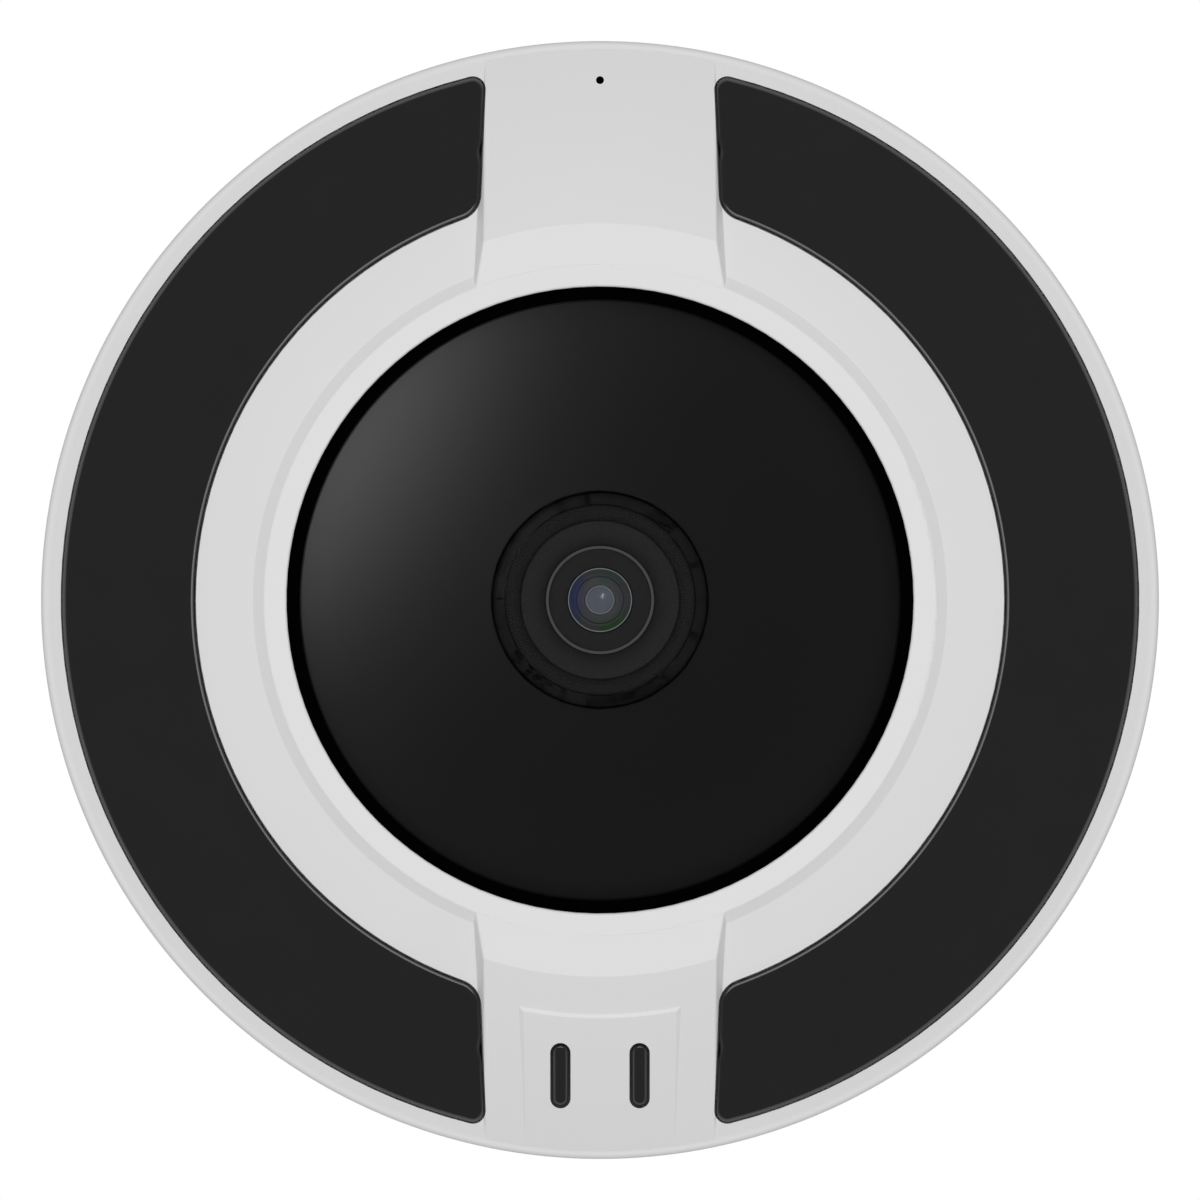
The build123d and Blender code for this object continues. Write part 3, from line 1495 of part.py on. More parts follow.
def microphone_boot():
    """Rubber boot that leads the sound from the hole to the microphone."""
    under = (shell_wall + boot_gap) / cone_lean
    boot_low = capsule_place - boot_half_width
    boot_high = microphone_hole_place + boot_wall
    block = slab(-boot_half_width, boot_half_width, boot_low, boot_high, carrier_top, ring_z)
    block = block & turned([
        (0, 0), (cover_radius, 0), (cover_radius, cone_z(cover_radius) - under),
        (dome_edge_radius, cone_z(dome_edge_radius) - under), (0, cone_z(dome_edge_radius) - under),
    ])
    block = block - disc(capsule_radius, carrier_top - 1, carrier_top + capsule_height, (0, capsule_place))
    duct_low = carrier_top + capsule_height - boot_duct_overlap
    return block - disc(boot_duct_radius, duct_low, ring_z, (0, microphone_hole_place))


def indicator_board():
    """Small board below the two slots."""
    half = indicator_half_width
    near = slot_near - indicator_near_margin
    far = slot_near + slot_length + indicator_far_margin
    return slab(-half, half, -far, -near, carrier_top, carrier_top + indicator_thickness)


def indicator_part(side):
    """A lamp or a light sensor under one slot."""
    x = side * slot_spacing / 2
    y = -(slot_near + slot_length / 2)
    low = carrier_top + indicator_thickness
    half_x = indicator_part_width / 2
    half_y = indicator_part_length / 2
    return slab(x - half_x, x + half_x, y - half_y, y + half_y, low, low + indicator_part_height)


right_window = rounded_window()
right_seal = window_seal()
right_board = lamp_board()

pieces = {
    "mounting_plate": mounting_plate(),
    "rear_housing": rear_housing(),
    "lock_screw": lock_screw(),
    "cable_grommet": cable_grommet(),
    "vent_plug": vent_plug(),
    "main_seal": main_seal(),
    "cover_screws": cover_screws(),
    "front_cover": front_cover(),
    "ir_window_right": right_window,
    "ir_window_left": left_of(right_window),
    "window_seal_right": right_seal,
    "window_seal_left": left_of(right_seal),
    "status_window": slot_insert(-1),
    "light_sensor_window": slot_insert(1),
    "dome_shroud": dome_shroud(),
    "shroud_seal": shroud_seal(),
    "shroud_screws": shroud_screws(),
    "lens_bubble": lens_bubble(),
    "bubble_seal": bubble_seal(),
    "bubble_retainer": bubble_retainer(),
    "main_board": main_board(),
    "chassis_screws": chassis_screws(),
    "processor": processor(),
    "thermal_pad": thermal_pad(),
    "network_jack": network_jack(),
    "terminal_block": terminal_block(),
    "card_socket": card_socket(),
    "memory_card": memory_card(),
    "power_transformer": power_transformer(),
    "capacitors": capacitors(),
    "reset_switch_base": reset_switch_base(),
    "reset_plunger": reset_plunger(),
    "sensor_board": sensor_board(),
    "board_pillars": board_pillars(),
    "image_sensor": image_sensor(),
    "flex_connectors": flex_connectors(),
    "flex_cable": flex_cable(),
    "lens_mount": lens_mount(),
    "filter_frame": filter_frame(),
    "ir_cut_filter": filter_glass(1),
    "clear_filter": filter_glass(-1),
    "filter_arm": filter_arm(),
    "rotor_magnet": rotor_magnet(),
    "filter_coil": filter_coil(),
    "lens_collar": lens_collar(),
    "lens_barrel": lens_barrel(),
    "lens_retaining_ring": lens_retaining_ring(),
    "front_element": front_element(),
    "rear_lens_group": rear_lens_group(),
    "lens_lock_ring": lens_lock_ring(),
    "ir_carrier": lamp_carrier(),
    "ir_board_right": right_board,
    "ir_board_left": left_of(right_board),
    "ir_leds": infrared_lamps(),
    "ir_optics": lamp_optics(),
    "microphone": microphone(),
    "microphone_boot": microphone_boot(),
    "indicator_board": indicator_board(),
    "status_led": indicator_part(-1),
    "light_sensor": indicator_part(1),
}

os.makedirs("parts", exist_ok=True)
for name, piece in pieces.items():
    export_step(Rot(90, 0, 0) * piece, f"parts/{name}.step")
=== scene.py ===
"""Panoramic ceiling and wall camera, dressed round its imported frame.

The front cover, dome, housing, boards and mounting plate come from the frame and get their finishes
here. The pieces that the eye rests on (windows, slot inserts, bubble, lens, collar and the cover's outer
edge) are worked out with numpy. Lengths are millimetres, except where a name ends in _m. Meshes are in
metres, with the lens facing -Y and Z up.
"""

import json
import logging
from dataclasses import dataclass, replace
from enum import Enum
from math import cos, pi, radians, sqrt, tan
from typing import Optional, Sequence

import bmesh
import bpy
import numpy as np
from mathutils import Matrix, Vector


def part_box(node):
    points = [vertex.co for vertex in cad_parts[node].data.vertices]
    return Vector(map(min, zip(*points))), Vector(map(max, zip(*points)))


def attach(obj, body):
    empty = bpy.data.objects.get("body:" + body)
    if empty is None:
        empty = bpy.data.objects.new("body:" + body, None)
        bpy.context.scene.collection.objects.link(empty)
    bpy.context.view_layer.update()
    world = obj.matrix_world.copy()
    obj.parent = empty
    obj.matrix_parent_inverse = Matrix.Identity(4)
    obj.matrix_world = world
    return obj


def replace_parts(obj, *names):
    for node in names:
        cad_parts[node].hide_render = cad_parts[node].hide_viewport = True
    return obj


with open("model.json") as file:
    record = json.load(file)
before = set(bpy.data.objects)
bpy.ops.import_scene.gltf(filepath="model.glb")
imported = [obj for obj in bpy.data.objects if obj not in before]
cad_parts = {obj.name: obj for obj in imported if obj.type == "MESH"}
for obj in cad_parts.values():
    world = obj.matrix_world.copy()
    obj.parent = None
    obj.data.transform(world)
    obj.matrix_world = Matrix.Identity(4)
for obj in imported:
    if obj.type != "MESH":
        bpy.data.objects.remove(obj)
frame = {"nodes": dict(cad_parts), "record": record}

Tree = bpy.types.NodeTree
Socket = bpy.types.NodeSocket
Colour = tuple[float, float, float, float]

LOG = logging.getLogger("panoramic_camera")
MM = 0.001
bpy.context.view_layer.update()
SHARP_TURN = radians(35.0)
MERGE_M = 1e-8
EASE_SHARE = 0.49
WAVE_RADIANS = 20.0
BRICK_ROWS = 4.0
BLACK: Colour = (0.0, 0.0, 0.0, 1.0)
WHITE: Colour = (1.0, 1.0, 1.0, 1.0)


class Side(Enum):
    """Which of two mirrored pieces, as the sign of its place on X."""

    LEFT = -1
    RIGHT = 1


def linear(colour: str) -> Colour:
    """Turn an sRGB hex colour into linear light.

    Args:
        colour: the colour as "#RRGGBB".

    Returns:
        Linear red, green and blue, and an alpha of 1.
    """
    values = np.array([int(colour[i:i + 2], 16) for i in (1, 3, 5)]) / 255.0
    light = np.where(values <= 0.04045, values / 12.92, ((values + 0.055) / 1.055) ** 2.4)
    return (*map(float, light), 1.0)


def toned(colour: str, factor: float = 1.0, lift: float = 0.0) -> Colour:
    """Linear light of a hex colour, times a factor and raised by a lift, 1 at most."""
    return (*(min(1.0, part * factor + lift) for part in linear(colour)[:3]), 1.0)


def add(tree: Tree, kind: str, sockets: Optional[dict] = None, **settings: object) -> bpy.types.Node:
    """Add one node to a tree, with its settings and links.

    Args:
        tree: the tree that gets the node.
        kind: the node's type, without "ShaderNode".
        sockets: for each input's name or number, a value or the output that feeds it.
        settings: the node's own settings.

    Returns:
        The new node.
    """
    node = tree.nodes.new("ShaderNode" + kind)
    for name, value in settings.items():
        setattr(node, name, value)
    for key, value in (sockets or {}).items():
        if isinstance(value, bpy.types.NodeSocket):
            tree.links.new(value, node.inputs[key])
        else:
            node.inputs[key].default_value = value
    return node


def per_metre(size_mm: float) -> float:
    """Pattern scale that makes one cell of a texture size_mm wide on Object coordinates in metres."""
    return 1.0 / (size_mm * MM)


def waves_per_metre(spacing_mm: float) -> float:
    """Scale of a wave texture whose waves lie spacing_mm apart: its phase runs WAVE_RADIANS for each unit."""
    return per_metre(spacing_mm) * 2.0 * pi / WAVE_RADIANS


# Finishes


@dataclass(frozen=True)
class Finish:
    """A finish named for its real material; surface() builds its nodes."""

    name: str
    colour: str
    roughness: float = 0.5
    ior: float = 1.5

    def material(self) -> bpy.types.Material:
        """Make the material, or find it where it was made before.

        Returns:
            The material.
        """
        made = bpy.data.materials.get(self.name)
        if made:
            return made
        made = bpy.data.materials.new(self.name)
        made.use_nodes = True
        made.diffuse_color = linear(self.colour)
        tree = made.node_tree
        tree.nodes.clear()
        place = add(tree, "TexCoord").outputs["Object"]
        add(tree, "OutputMaterial", {"Surface": self.surface(tree, place)})
        return made

    def surface(self, tree: Tree, place: Socket) -> Socket:
        """Each finish below says here what the eye sees of it."""
        raise NotImplementedError(self.name)


@dataclass(frozen=True)
class SparkErodedPlastic(Finish):
    """Moulded plastic from a spark-eroded mould: an even, very fine pitted skin that breaks up reflections.

    The pits are drawn a few times as wide as they are, so that they show. The rim shade is painted shade:
    it darkens a wide disc slowly between two distances off the lens axis, so the cover grows darker towards
    its rim.
    """

    grain_mm: float = 0.35
    depth_mm: float = 0.010
    specular: float = 0.5
    cloud: float = 0.02
    cloud_mm: float = 18.0
    gloss_spread: float = 0.05
    painted_rim_shade: float = 0.0
    shade_from_mm: float = 50.0
    shade_to_mm: float = 77.0

    def surface(self, tree: Tree, place: Socket) -> Socket:
        """Fine pits as bump and gloss, slow clouds in tone from the flow of the melt, and painted shade
        towards the rim.

        Args:
            tree: the material's nodes.
            place: the point on Object coordinates.

        Returns:
            The shader.
        """
        pits = add(tree, "TexNoise", {"Vector": place, "Scale": per_metre(self.grain_mm), "Detail": 2.0})
        cloud = add(tree, "TexNoise", {"Vector": place, "Scale": per_metre(self.cloud_mm), "Detail": 3.0})
        tone = add(tree, "Mix", {
            "Factor": cloud.outputs["Fac"], 6: toned(self.colour, 1.0 - self.cloud), 7: linear(self.colour)},
            data_type="RGBA")
        # Painted shade: the tone is darkened towards the cover's rim, by distance from the lens axis.
        if self.painted_rim_shade:
            flat = add(tree, "VectorMath", {0: place, 1: (1.0, 0.0, 1.0)}, operation="MULTIPLY")
            off_axis = add(tree, "VectorMath", {0: flat.outputs[0]}, operation="LENGTH").outputs["Value"]
            share = add(tree, "MapRange", {
                "Value": off_axis, "From Min": self.shade_from_mm * MM, "From Max": self.shade_to_mm * MM,
                "To Max": self.painted_rim_shade})
            tone = add(tree, "Mix", {"Factor": share.outputs[0], 6: tone.outputs[2], 7: BLACK},
                       data_type="RGBA")
        gloss = add(tree, "MapRange", {
            "Value": pits.outputs["Fac"], "To Min": self.roughness - self.gloss_spread,
            "To Max": self.roughness + self.gloss_spread})
        skin = add(tree, "Bump", {
            "Height": pits.outputs["Fac"], "Strength": 1.0, "Distance": self.depth_mm * MM})
        return add(tree, "BsdfPrincipled", {
            "Base Color": tone.outputs[2], "Roughness": gloss.outputs[0], "IOR": self.ior,
            "Specular IOR Level": self.specular, "Normal": skin.outputs[0]}).outputs[0]


@dataclass(frozen=True)
class GlassFilledNylon(Finish):
    """Black structural moulding with chopped glass: short pale fibres swim just under a dull skin."""

    fibre_mm: float = 0.25
    fibre_stretch: float = 0.25
    fibre_from: float = 0.56
    fibre_to: float = 0.72
    fibre_light: float = 1.9
    fibre_lift: float = 0.004
    fibre_depth_mm: float = 0.012
    polished: float = 0.08
    dulled: float = 0.1

    def surface(self, tree: Tree, place: Socket) -> Socket:
        """Stretched noise gives the fibres; it lifts tone and roughness a little.

        Args:
            tree: the material's nodes.
            place: the point on Object coordinates.

        Returns:
            The shader.
        """
        along = add(tree, "Mapping", {"Vector": place, "Scale": (1.0, 1.0, self.fibre_stretch)})
        fibre = add(tree, "TexNoise", {
            "Vector": along.outputs[0], "Scale": per_metre(self.fibre_mm), "Detail": 4.0})
        mask = add(tree, "MapRange", {
            "Value": fibre.outputs["Fac"], "From Min": self.fibre_from, "From Max": self.fibre_to})
        tone = add(tree, "Mix", {
            "Factor": mask.outputs[0], 6: linear(self.colour),
            7: toned(self.colour, self.fibre_light, self.fibre_lift)}, data_type="RGBA")
        gloss = add(tree, "MapRange", {
            "Value": fibre.outputs["Fac"], "To Min": self.roughness - self.polished,
            "To Max": self.roughness + self.dulled})
        skin = add(tree, "Bump", {
            "Height": fibre.outputs["Fac"], "Strength": 0.6, "Distance": self.fibre_depth_mm * MM})
        return add(tree, "BsdfPrincipled", {
            "Base Color": tone.outputs[2], "Roughness": gloss.outputs[0], "IOR": self.ior,
            "Normal": skin.outputs[0]}).outputs[0]


@dataclass(frozen=True)
class InfraredAcrylic(Finish):
    """Cast-dyed acrylic that passes only infrared: black to the eye, with a satin moulded face."""

    grain_mm: float = 0.6
    depth_mm: float = 0.003
    haze_mm: float = 9.0
    gloss_spread: float = 0.02
    specular: float = 0.4

    def surface(self, tree: Tree, place: Socket) -> Socket:
        """Very slight haze variation over a smooth face; the depth of the dye is nearly neutral.

        Args:
            tree: the material's nodes.
            place: the point on Object coordinates.

        Returns:
            The shader.
        """
        haze = add(tree, "TexNoise", {"Vector": place, "Scale": per_metre(self.haze_mm), "Detail": 2.0})
        fine = add(tree, "TexNoise", {"Vector": place, "Scale": per_metre(self.grain_mm), "Detail": 1.0})
        gloss = add(tree, "MapRange", {
            "Value": haze.outputs["Fac"], "To Min": self.roughness - self.gloss_spread,
            "To Max": self.roughness + self.gloss_spread})
        skin = add(tree, "Bump", {
            "Height": fine.outputs["Fac"], "Strength": 0.3, "Distance": self.depth_mm * MM})
        return add(tree, "BsdfPrincipled", {
            "Base Color": linear(self.colour), "Roughness": gloss.outputs[0], "IOR": self.ior,
            "Specular IOR Level": self.specular, "Normal": skin.outputs[0]}).outputs[0]


@dataclass(frozen=True)
class PowderCoat(Finish):
    """Baked powder on die-cast aluminium: a soft orange peel about a millimetre wide under a satin skin."""

    peel_mm: float = 1.1
    peel_depth_mm: float = 0.03
    powder_mm: float = 0.2
    powder_depth_mm: float = 0.006
    gloss_spread: float = 0.07

    def surface(self, tree: Tree, place: Socket) -> Socket:
        """Orange peel from smooth noise and a fine powder speckle in roughness.

        Args:
            tree: the material's nodes.
            place: the point on Object coordinates.

        Returns:
            The shader.
        """
        peel = add(tree, "TexNoise", {"Vector": place, "Scale": per_metre(self.peel_mm), "Detail": 0.0})
        speck = add(tree, "TexNoise", {"Vector": place, "Scale": per_metre(self.powder_mm), "Detail": 2.0})
        gloss = add(tree, "MapRange", {
            "Value": speck.outputs["Fac"], "To Min": self.roughness - self.gloss_spread,
            "To Max": self.roughness + self.gloss_spread})
        fine = add(tree, "Bump", {
            "Height": speck.outputs["Fac"], "Strength": 0.5, "Distance": self.powder_depth_mm * MM})
        skin = add(tree, "Bump", {
            "Height": peel.outputs["Fac"], "Strength": 1.0, "Distance": self.peel_depth_mm * MM,
            "Normal": fine.outputs[0]})
        return add(tree, "BsdfPrincipled", {
            "Base Color": linear(self.colour), "Roughness": gloss.outputs[0], "IOR": self.ior,
            "Normal": skin.outputs[0]}).outputs[0]


@dataclass(frozen=True)
class PlatedSteel(Finish):
    """Pressed steel under zinc or tin plate: bluish grey, with faint crystals and rolling lines."""

    crystal_mm: float = 2.5
    contrast: float = 0.12
    roll_mm: float = 0.3
    roll_stretch: float = 0.05
    roll_depth_mm: float = 0.004
    gloss_spread: float = 0.1

    def surface(self, tree: Tree, place: Socket) -> Socket:
        """Crystals shift tone and roughness; long thin streaks follow the rolling direction.

        Args:
            tree: the material's nodes.
            place: the point on Object coordinates.

        Returns:
            The shader.
        """
        crystal = add(tree, "TexVoronoi", {"Vector": place, "Scale": per_metre(self.crystal_mm)})
        along = add(tree, "Mapping", {"Vector": place, "Scale": (self.roll_stretch, 1.0, 1.0)})
        rolled = add(tree, "TexNoise", {
            "Vector": along.outputs[0], "Scale": per_metre(self.roll_mm), "Detail": 3.0})
        shade = add(tree, "SeparateColor", {0: crystal.outputs["Color"]})
        mixed = add(tree, "Math", {0: shade.outputs[0], 1: rolled.outputs["Fac"]}, operation="MULTIPLY")
        tone = add(tree, "Mix", {
            "Factor": mixed.outputs[0], 6: toned(self.colour, 1.0 - self.contrast), 7: linear(self.colour)},
            data_type="RGBA")
        gloss = add(tree, "MapRange", {
            "Value": mixed.outputs[0], "To Min": self.roughness + self.gloss_spread,
            "To Max": self.roughness - self.gloss_spread})
        skin = add(tree, "Bump", {
            "Height": rolled.outputs["Fac"], "Strength": 0.3, "Distance": self.roll_depth_mm * MM})
        return add(tree, "BsdfPrincipled", {
            "Base Color": tone.outputs[2], "Metallic": 1.0, "Roughness": gloss.outputs[0],
            "Normal": skin.outputs[0]}).outputs[0]


@dataclass(frozen=True)
class TurnedMetal(Finish):
    """Lathe-turned metal, bare or anodised: concentric tool marks that stretch the light round the axis.

    Real marks lie some hundredths of a millimetre apart; they are drawn as coarse as they need to show.
    """

    spacing_mm: float = 0.754
    mark_depth_mm: float = 0.004
    metallic: float = 1.0
    anisotropy: float = 0.5
    polished: float = 0.05
    dulled: float = 0.08

    def surface(self, tree: Tree, place: Socket) -> Socket:
        """Rings round the Y axis, as bump and as slight changes of roughness.

        Args:
            tree: the material's nodes.
            place: the point on Object coordinates.

        Returns:
            The shader.
        """
        rings = add(tree, "TexWave", {
            "Vector": place, "Scale": waves_per_metre(self.spacing_mm), "Distortion": 0.4, "Detail": 2.0},
            wave_type="RINGS", rings_direction="Y")
        gloss = add(tree, "MapRange", {
            "Value": rings.outputs["Fac"], "To Min": self.roughness - self.polished,
            "To Max": self.roughness + self.dulled})
        skin = add(tree, "Bump", {
            "Height": rings.outputs["Fac"], "Strength": 0.35, "Distance": self.mark_depth_mm * MM})
        around = add(tree, "Tangent", direction_type="RADIAL", axis="Y")
        return add(tree, "BsdfPrincipled", {
            "Base Color": linear(self.colour), "Metallic": self.metallic, "Roughness": gloss.outputs[0],
            "Anisotropic": self.anisotropy, "Tangent": around.outputs[0],
            "Normal": skin.outputs[0]}).outputs[0]


@dataclass(frozen=True)
class MouldedRubber(Finish):
    """Moulded silicone or foam: soft and dark, with a dusty bloom in slow patches."""

    dust: float = 0.012
    bloom_mm: float = 6.0
    skin_mm: float = 0.3
    skin_depth_mm: float = 0.01
    sheen: float = 0.3
    sheen_per_dust: float = 25.0

    def surface(self, tree: Tree, place: Socket) -> Socket:
        """Bloom lifts the tone; a fine skin keeps it matt, and less dust leaves less sheen.

        Args:
            tree: the material's nodes.
            place: the point on Object coordinates.

        Returns:
            The shader.
        """
        bloom = add(tree, "TexNoise", {"Vector": place, "Scale": per_metre(self.bloom_mm), "Detail": 4.0})
        fine = add(tree, "TexNoise", {"Vector": place, "Scale": per_metre(self.skin_mm), "Detail": 2.0})
        tone = add(tree, "Mix", {
            "Factor": bloom.outputs["Fac"], 6: linear(self.colour), 7: toned(self.colour, lift=self.dust)},
            data_type="RGBA")
        skin = add(tree, "Bump", {
            "Height": fine.outputs["Fac"], "Strength": 0.5, "Distance": self.skin_depth_mm * MM})
        return add(tree, "BsdfPrincipled", {
            "Base Color": tone.outputs[2], "Roughness": self.roughness, "IOR": self.ior,
            "Specular IOR Level": min(self.sheen, self.dust * self.sheen_per_dust),
            "Normal": skin.outputs[0]}).outputs[0]


@dataclass(frozen=True)
class SolderMask(Finish):
    """Glass-epoxy board under green solder mask: copper traces show lighter, between tinned pads."""

    trace_mm: float = 1.3
    trace_light: float = 1.9
    trace_lift: float = 0.003
    trace_depth_mm: float = 0.03
    pad_mm: float = 2.6
    pad_share: float = 0.13
    tin: str = "#B9BBB6"

    def surface(self, tree: Tree, place: Socket) -> Socket:
        """Bricks, BRICK_ROWS rows to a unit of scale, give the runs of the traces; round cells give the pads.

        Args:
            tree: the material's nodes.
            place: the point on Object coordinates.

        Returns:
            The shader.
        """
        flat = add(tree, "Mapping", {"Vector": place, "Rotation": (radians(90), 0.0, 0.0)})
        run = add(tree, "TexBrick", {
            "Vector": flat.outputs[0], "Scale": per_metre(self.trace_mm) / BRICK_ROWS, "Mortar Size": 0.012,
            "Color1": BLACK, "Color2": (0.3, 0.3, 0.3, 1.0), "Mortar": WHITE, "Bias": -0.4})
        dots = add(tree, "TexVoronoi", {
            "Vector": place, "Scale": per_metre(self.pad_mm), "Randomness": 0.75})
        pad = add(tree, "Math", {0: dots.outputs["Distance"], 1: self.pad_share}, operation="LESS_THAN")
        traced = add(tree, "Mix", {
            "Factor": run.outputs["Color"], 6: linear(self.colour),
            7: toned(self.colour, self.trace_light, self.trace_lift)}, data_type="RGBA")
        tinned = add(tree, "Mix", {"Factor": pad.outputs[0], 6: traced.outputs[2], 7: linear(self.tin)},
                     data_type="RGBA")
        step = add(tree, "Bump", {
            "Height": run.outputs["Color"], "Strength": 0.6, "Distance": self.trace_depth_mm * MM})
        return add(tree, "BsdfPrincipled", {
            "Base Color": tinned.outputs[2], "Metallic": pad.outputs[0], "Roughness": self.roughness,
            "IOR": self.ior, "Coat Weight": 0.4, "Coat Roughness": 0.15,
            "Normal": step.outputs[0]}).outputs[0]


@dataclass(frozen=True)
class ClearMoulding(Finish):
    """Polished clear acrylic: nearly invisible face on, with a soft reflection that grows towards the rim."""

    tint: str = "#FFFFFF"
    deep: str = "#9A9A9A"
    reflect: float = 0.6
    smear_mm: float = 7.0
    smear_spread: float = 0.02
    shade_facing_from: float = 0.74
    shade_facing_to: float = 0.9
    late: float = 1.5

    def surface(self, tree: Tree, place: Socket) -> Socket:
        """Straight-through light mixed with a mirror by Fresnel, on the outer faces only.

        The hard coat takes away the reflection seen square on, so the share starts from nothing there
        and rises as a power. Where the wall is seen edge on, the straight-through light turns to the deep
        colour: partly the longer path through the wall, and partly painted shade for the shell's dark edge.
        and rises as a power. Where the wall is seen edge on, the light has further to go and turns deep.

        Args:
            tree: the material's nodes.
            place: the point on Object coordinates.

        Returns:
            The shader.
        """
        smear = add(tree, "TexNoise", {"Vector": place, "Scale": per_metre(self.smear_mm), "Detail": 3.0})
        gloss = add(tree, "MapRange", {
            "Value": smear.outputs["Fac"], "To Min": self.roughness,
            "To Max": self.roughness + self.smear_spread})
        facing = add(tree, "LayerWeight", {"Blend": 0.5}).outputs["Facing"]
        # Painted shade: towards edge on, on the outer faces, the light let through darkens towards the deep
        # colour.
        edge_shade_share = add(tree, "MapRange", {
            "Value": facing, "From Min": self.shade_facing_from, "From Max": self.shade_facing_to},
            interpolation_type="SMOOTHSTEP")
        inside = add(tree, "NewGeometry").outputs["Backfacing"]
        outside = add(tree, "Math", {0: 1.0, 1: inside}, operation="SUBTRACT")
        grazed = add(tree, "Math", {0: edge_shade_share.outputs[0], 1: outside.outputs[0]}, operation="MULTIPLY")
        hue = add(tree, "Mix", {"Factor": grazed.outputs[0], 6: linear(self.tint), 7: linear(self.deep)},
                  data_type="RGBA")
        through = add(tree, "BsdfTransparent", {"Color": hue.outputs[2]})
        mirror = add(tree, "BsdfGlossy", {"Color": linear(self.colour), "Roughness": gloss.outputs[0]})
        share = add(tree, "Fresnel", {"IOR": self.ior})
        square_on = ((self.ior - 1.0) / (self.ior + 1.0)) ** 2
        risen = add(tree, "MapRange", {
            "Value": share.outputs[0], "From Min": square_on, "From Max": 1.0, "To Min": 0.0, "To Max": 1.0})
        late = add(tree, "Math", {0: risen.outputs[0], 1: self.late}, operation="POWER")
        weak = add(tree, "Math", {0: late.outputs[0], 1: self.reflect}, operation="MULTIPLY")
        once = add(tree, "Math", {0: weak.outputs[0], 1: outside.outputs[0]}, operation="MULTIPLY")
        return add(tree, "MixShader", {
            0: once.outputs[0], 1: through.outputs[0], 2: mirror.outputs[0]}).outputs[0]


@dataclass(frozen=True)
class CoatedGlass(Finish):
    """Ground and coated optical glass: deep and dark, with the coating's soft violet bloom."""

    bloom: str = "#3A3550"
    bloom_mm: float = 6.0

    def surface(self, tree: Tree, place: Socket) -> Socket:
        """A dark body with a clear coat; the bloom drifts over the face.

        Args:
            tree: the material's nodes.
            place: the point on Object coordinates.

        Returns:
            The shader.
        """
        drift = add(tree, "TexNoise", {"Vector": place, "Scale": per_metre(self.bloom_mm), "Detail": 1.0})
        tone = add(tree, "Mix", {
            "Factor": drift.outputs["Fac"], 6: linear(self.colour), 7: linear(self.bloom)}, data_type="RGBA")
        return add(tree, "BsdfPrincipled", {
            "Base Color": tone.outputs[2], "Roughness": self.roughness, "IOR": self.ior,
            "Coat Weight": 1.0, "Coat Roughness": 0.02}).outputs[0]


@dataclass(frozen=True)
class PaintedReflection:
    """Painted reflection: colour that one coating would throw back, painted into the base colour; it grows
    along a direction across the glass.
    """

    colour: str
    along: tuple[float, float, float]
    near_mm: float
    far_mm: float
    most: float


def painted_coating_reflections(teal: str, blue: str, green: str, pink: str = "#6A5260") -> tuple[PaintedReflection, ...]:
    """A stack's painted reflections of its coatings: teal above, a little pink near the middle, blue at the
    left, green at the lower right.

    Args:
        teal: the upper coating's colour.
        blue: the left coating's colour.
        green: the lower right coating's colour.
        pink: the colour near the middle.

    Returns:
        The painted reflections, in the order in which they lie over one another.
    """
    return (PaintedReflection(teal, (-0.1, 0.0, 1.0), 1.4, 3.6, 0.85), PaintedReflection(pink, (-0.75, 0.0, 0.66), 1.4, 2.6, 0.2),
            PaintedReflection(blue, (-1.0, 0.0, 0.15), 1.5, 4.0, 0.85), PaintedReflection(green, (0.5, 0.0, -0.87), 2.3, 4.6, 0.9))


@dataclass(frozen=True)
class CoatedStack(Finish):
    """Blackened cell and coated glasses seen through the front glass: painted reflections as soft tints over
    grey steps.
    """

    painted_tints: tuple[PaintedReflection, ...] = painted_coating_reflections("#42524C", "#38426A", "#2A521E")
    specular: float = 0.1

    def surface(self, tree: Tree, place: Socket) -> Socket:
        """Painted reflections as tints by the direction across the glass, each a smooth ramp along one line.

        Args:
            tree: the material's nodes.
            place: the point on Object coordinates.

        Returns:
            The shader.
        """
        tone = linear(self.colour)
        # Painted reflection: each coating's colour is mixed into the base colour by place, not thrown back
        # from a lamp.
        for tint in self.painted_tints:
            across = add(tree, "VectorMath", {0: place, 1: tint.along}, operation="DOT_PRODUCT")
            share = add(tree, "MapRange", {
                "Value": across.outputs["Value"], "From Min": tint.near_mm * MM, "From Max": tint.far_mm * MM,
                "To Min": 0.0, "To Max": tint.most}, interpolation_type="SMOOTHSTEP")
            tone = add(tree, "Mix", {"Factor": share.outputs[0], 6: tone, 7: linear(tint.colour)},
                       data_type="RGBA").outputs[2]
        return add(tree, "BsdfPrincipled", {
            "Base Color": tone, "Roughness": self.roughness, "IOR": self.ior,
            "Specular IOR Level": self.specular}).outputs[0]


@dataclass(frozen=True)
class CopperWinding(Finish):
    """Enamelled copper wire wound in close turns: each turn is a bright line under amber lacquer.

    The real wire is about 0.1 mm thick; its turns are drawn ten times as coarse, so that they show.
    """

    turn_mm: float = 1.005
    turn_depth_mm: float = 0.05
    gap_light: float = 0.45

    def surface(self, tree: Tree, place: Socket) -> Socket:
        """Bands across the coil's axis, one for each turn.

        Args:
            tree: the material's nodes.
            place: the point on Object coordinates.

        Returns:
            The shader.
        """
        turns = add(tree, "TexWave", {
            "Vector": place, "Scale": waves_per_metre(self.turn_mm), "Distortion": 0.3},
            wave_type="BANDS", bands_direction="X")
        tone = add(tree, "Mix", {
            "Factor": turns.outputs["Fac"], 6: toned(self.colour, self.gap_light), 7: linear(self.colour)},
            data_type="RGBA")
        skin = add(tree, "Bump", {
            "Height": turns.outputs["Fac"], "Strength": 1.0, "Distance": self.turn_depth_mm * MM})
        return add(tree, "BsdfPrincipled", {
            "Base Color": tone.outputs[2], "Metallic": 1.0, "Roughness": self.roughness,
            "Coat Weight": 0.6, "Coat Roughness": 0.1, "Normal": skin.outputs[0]}).outputs[0]


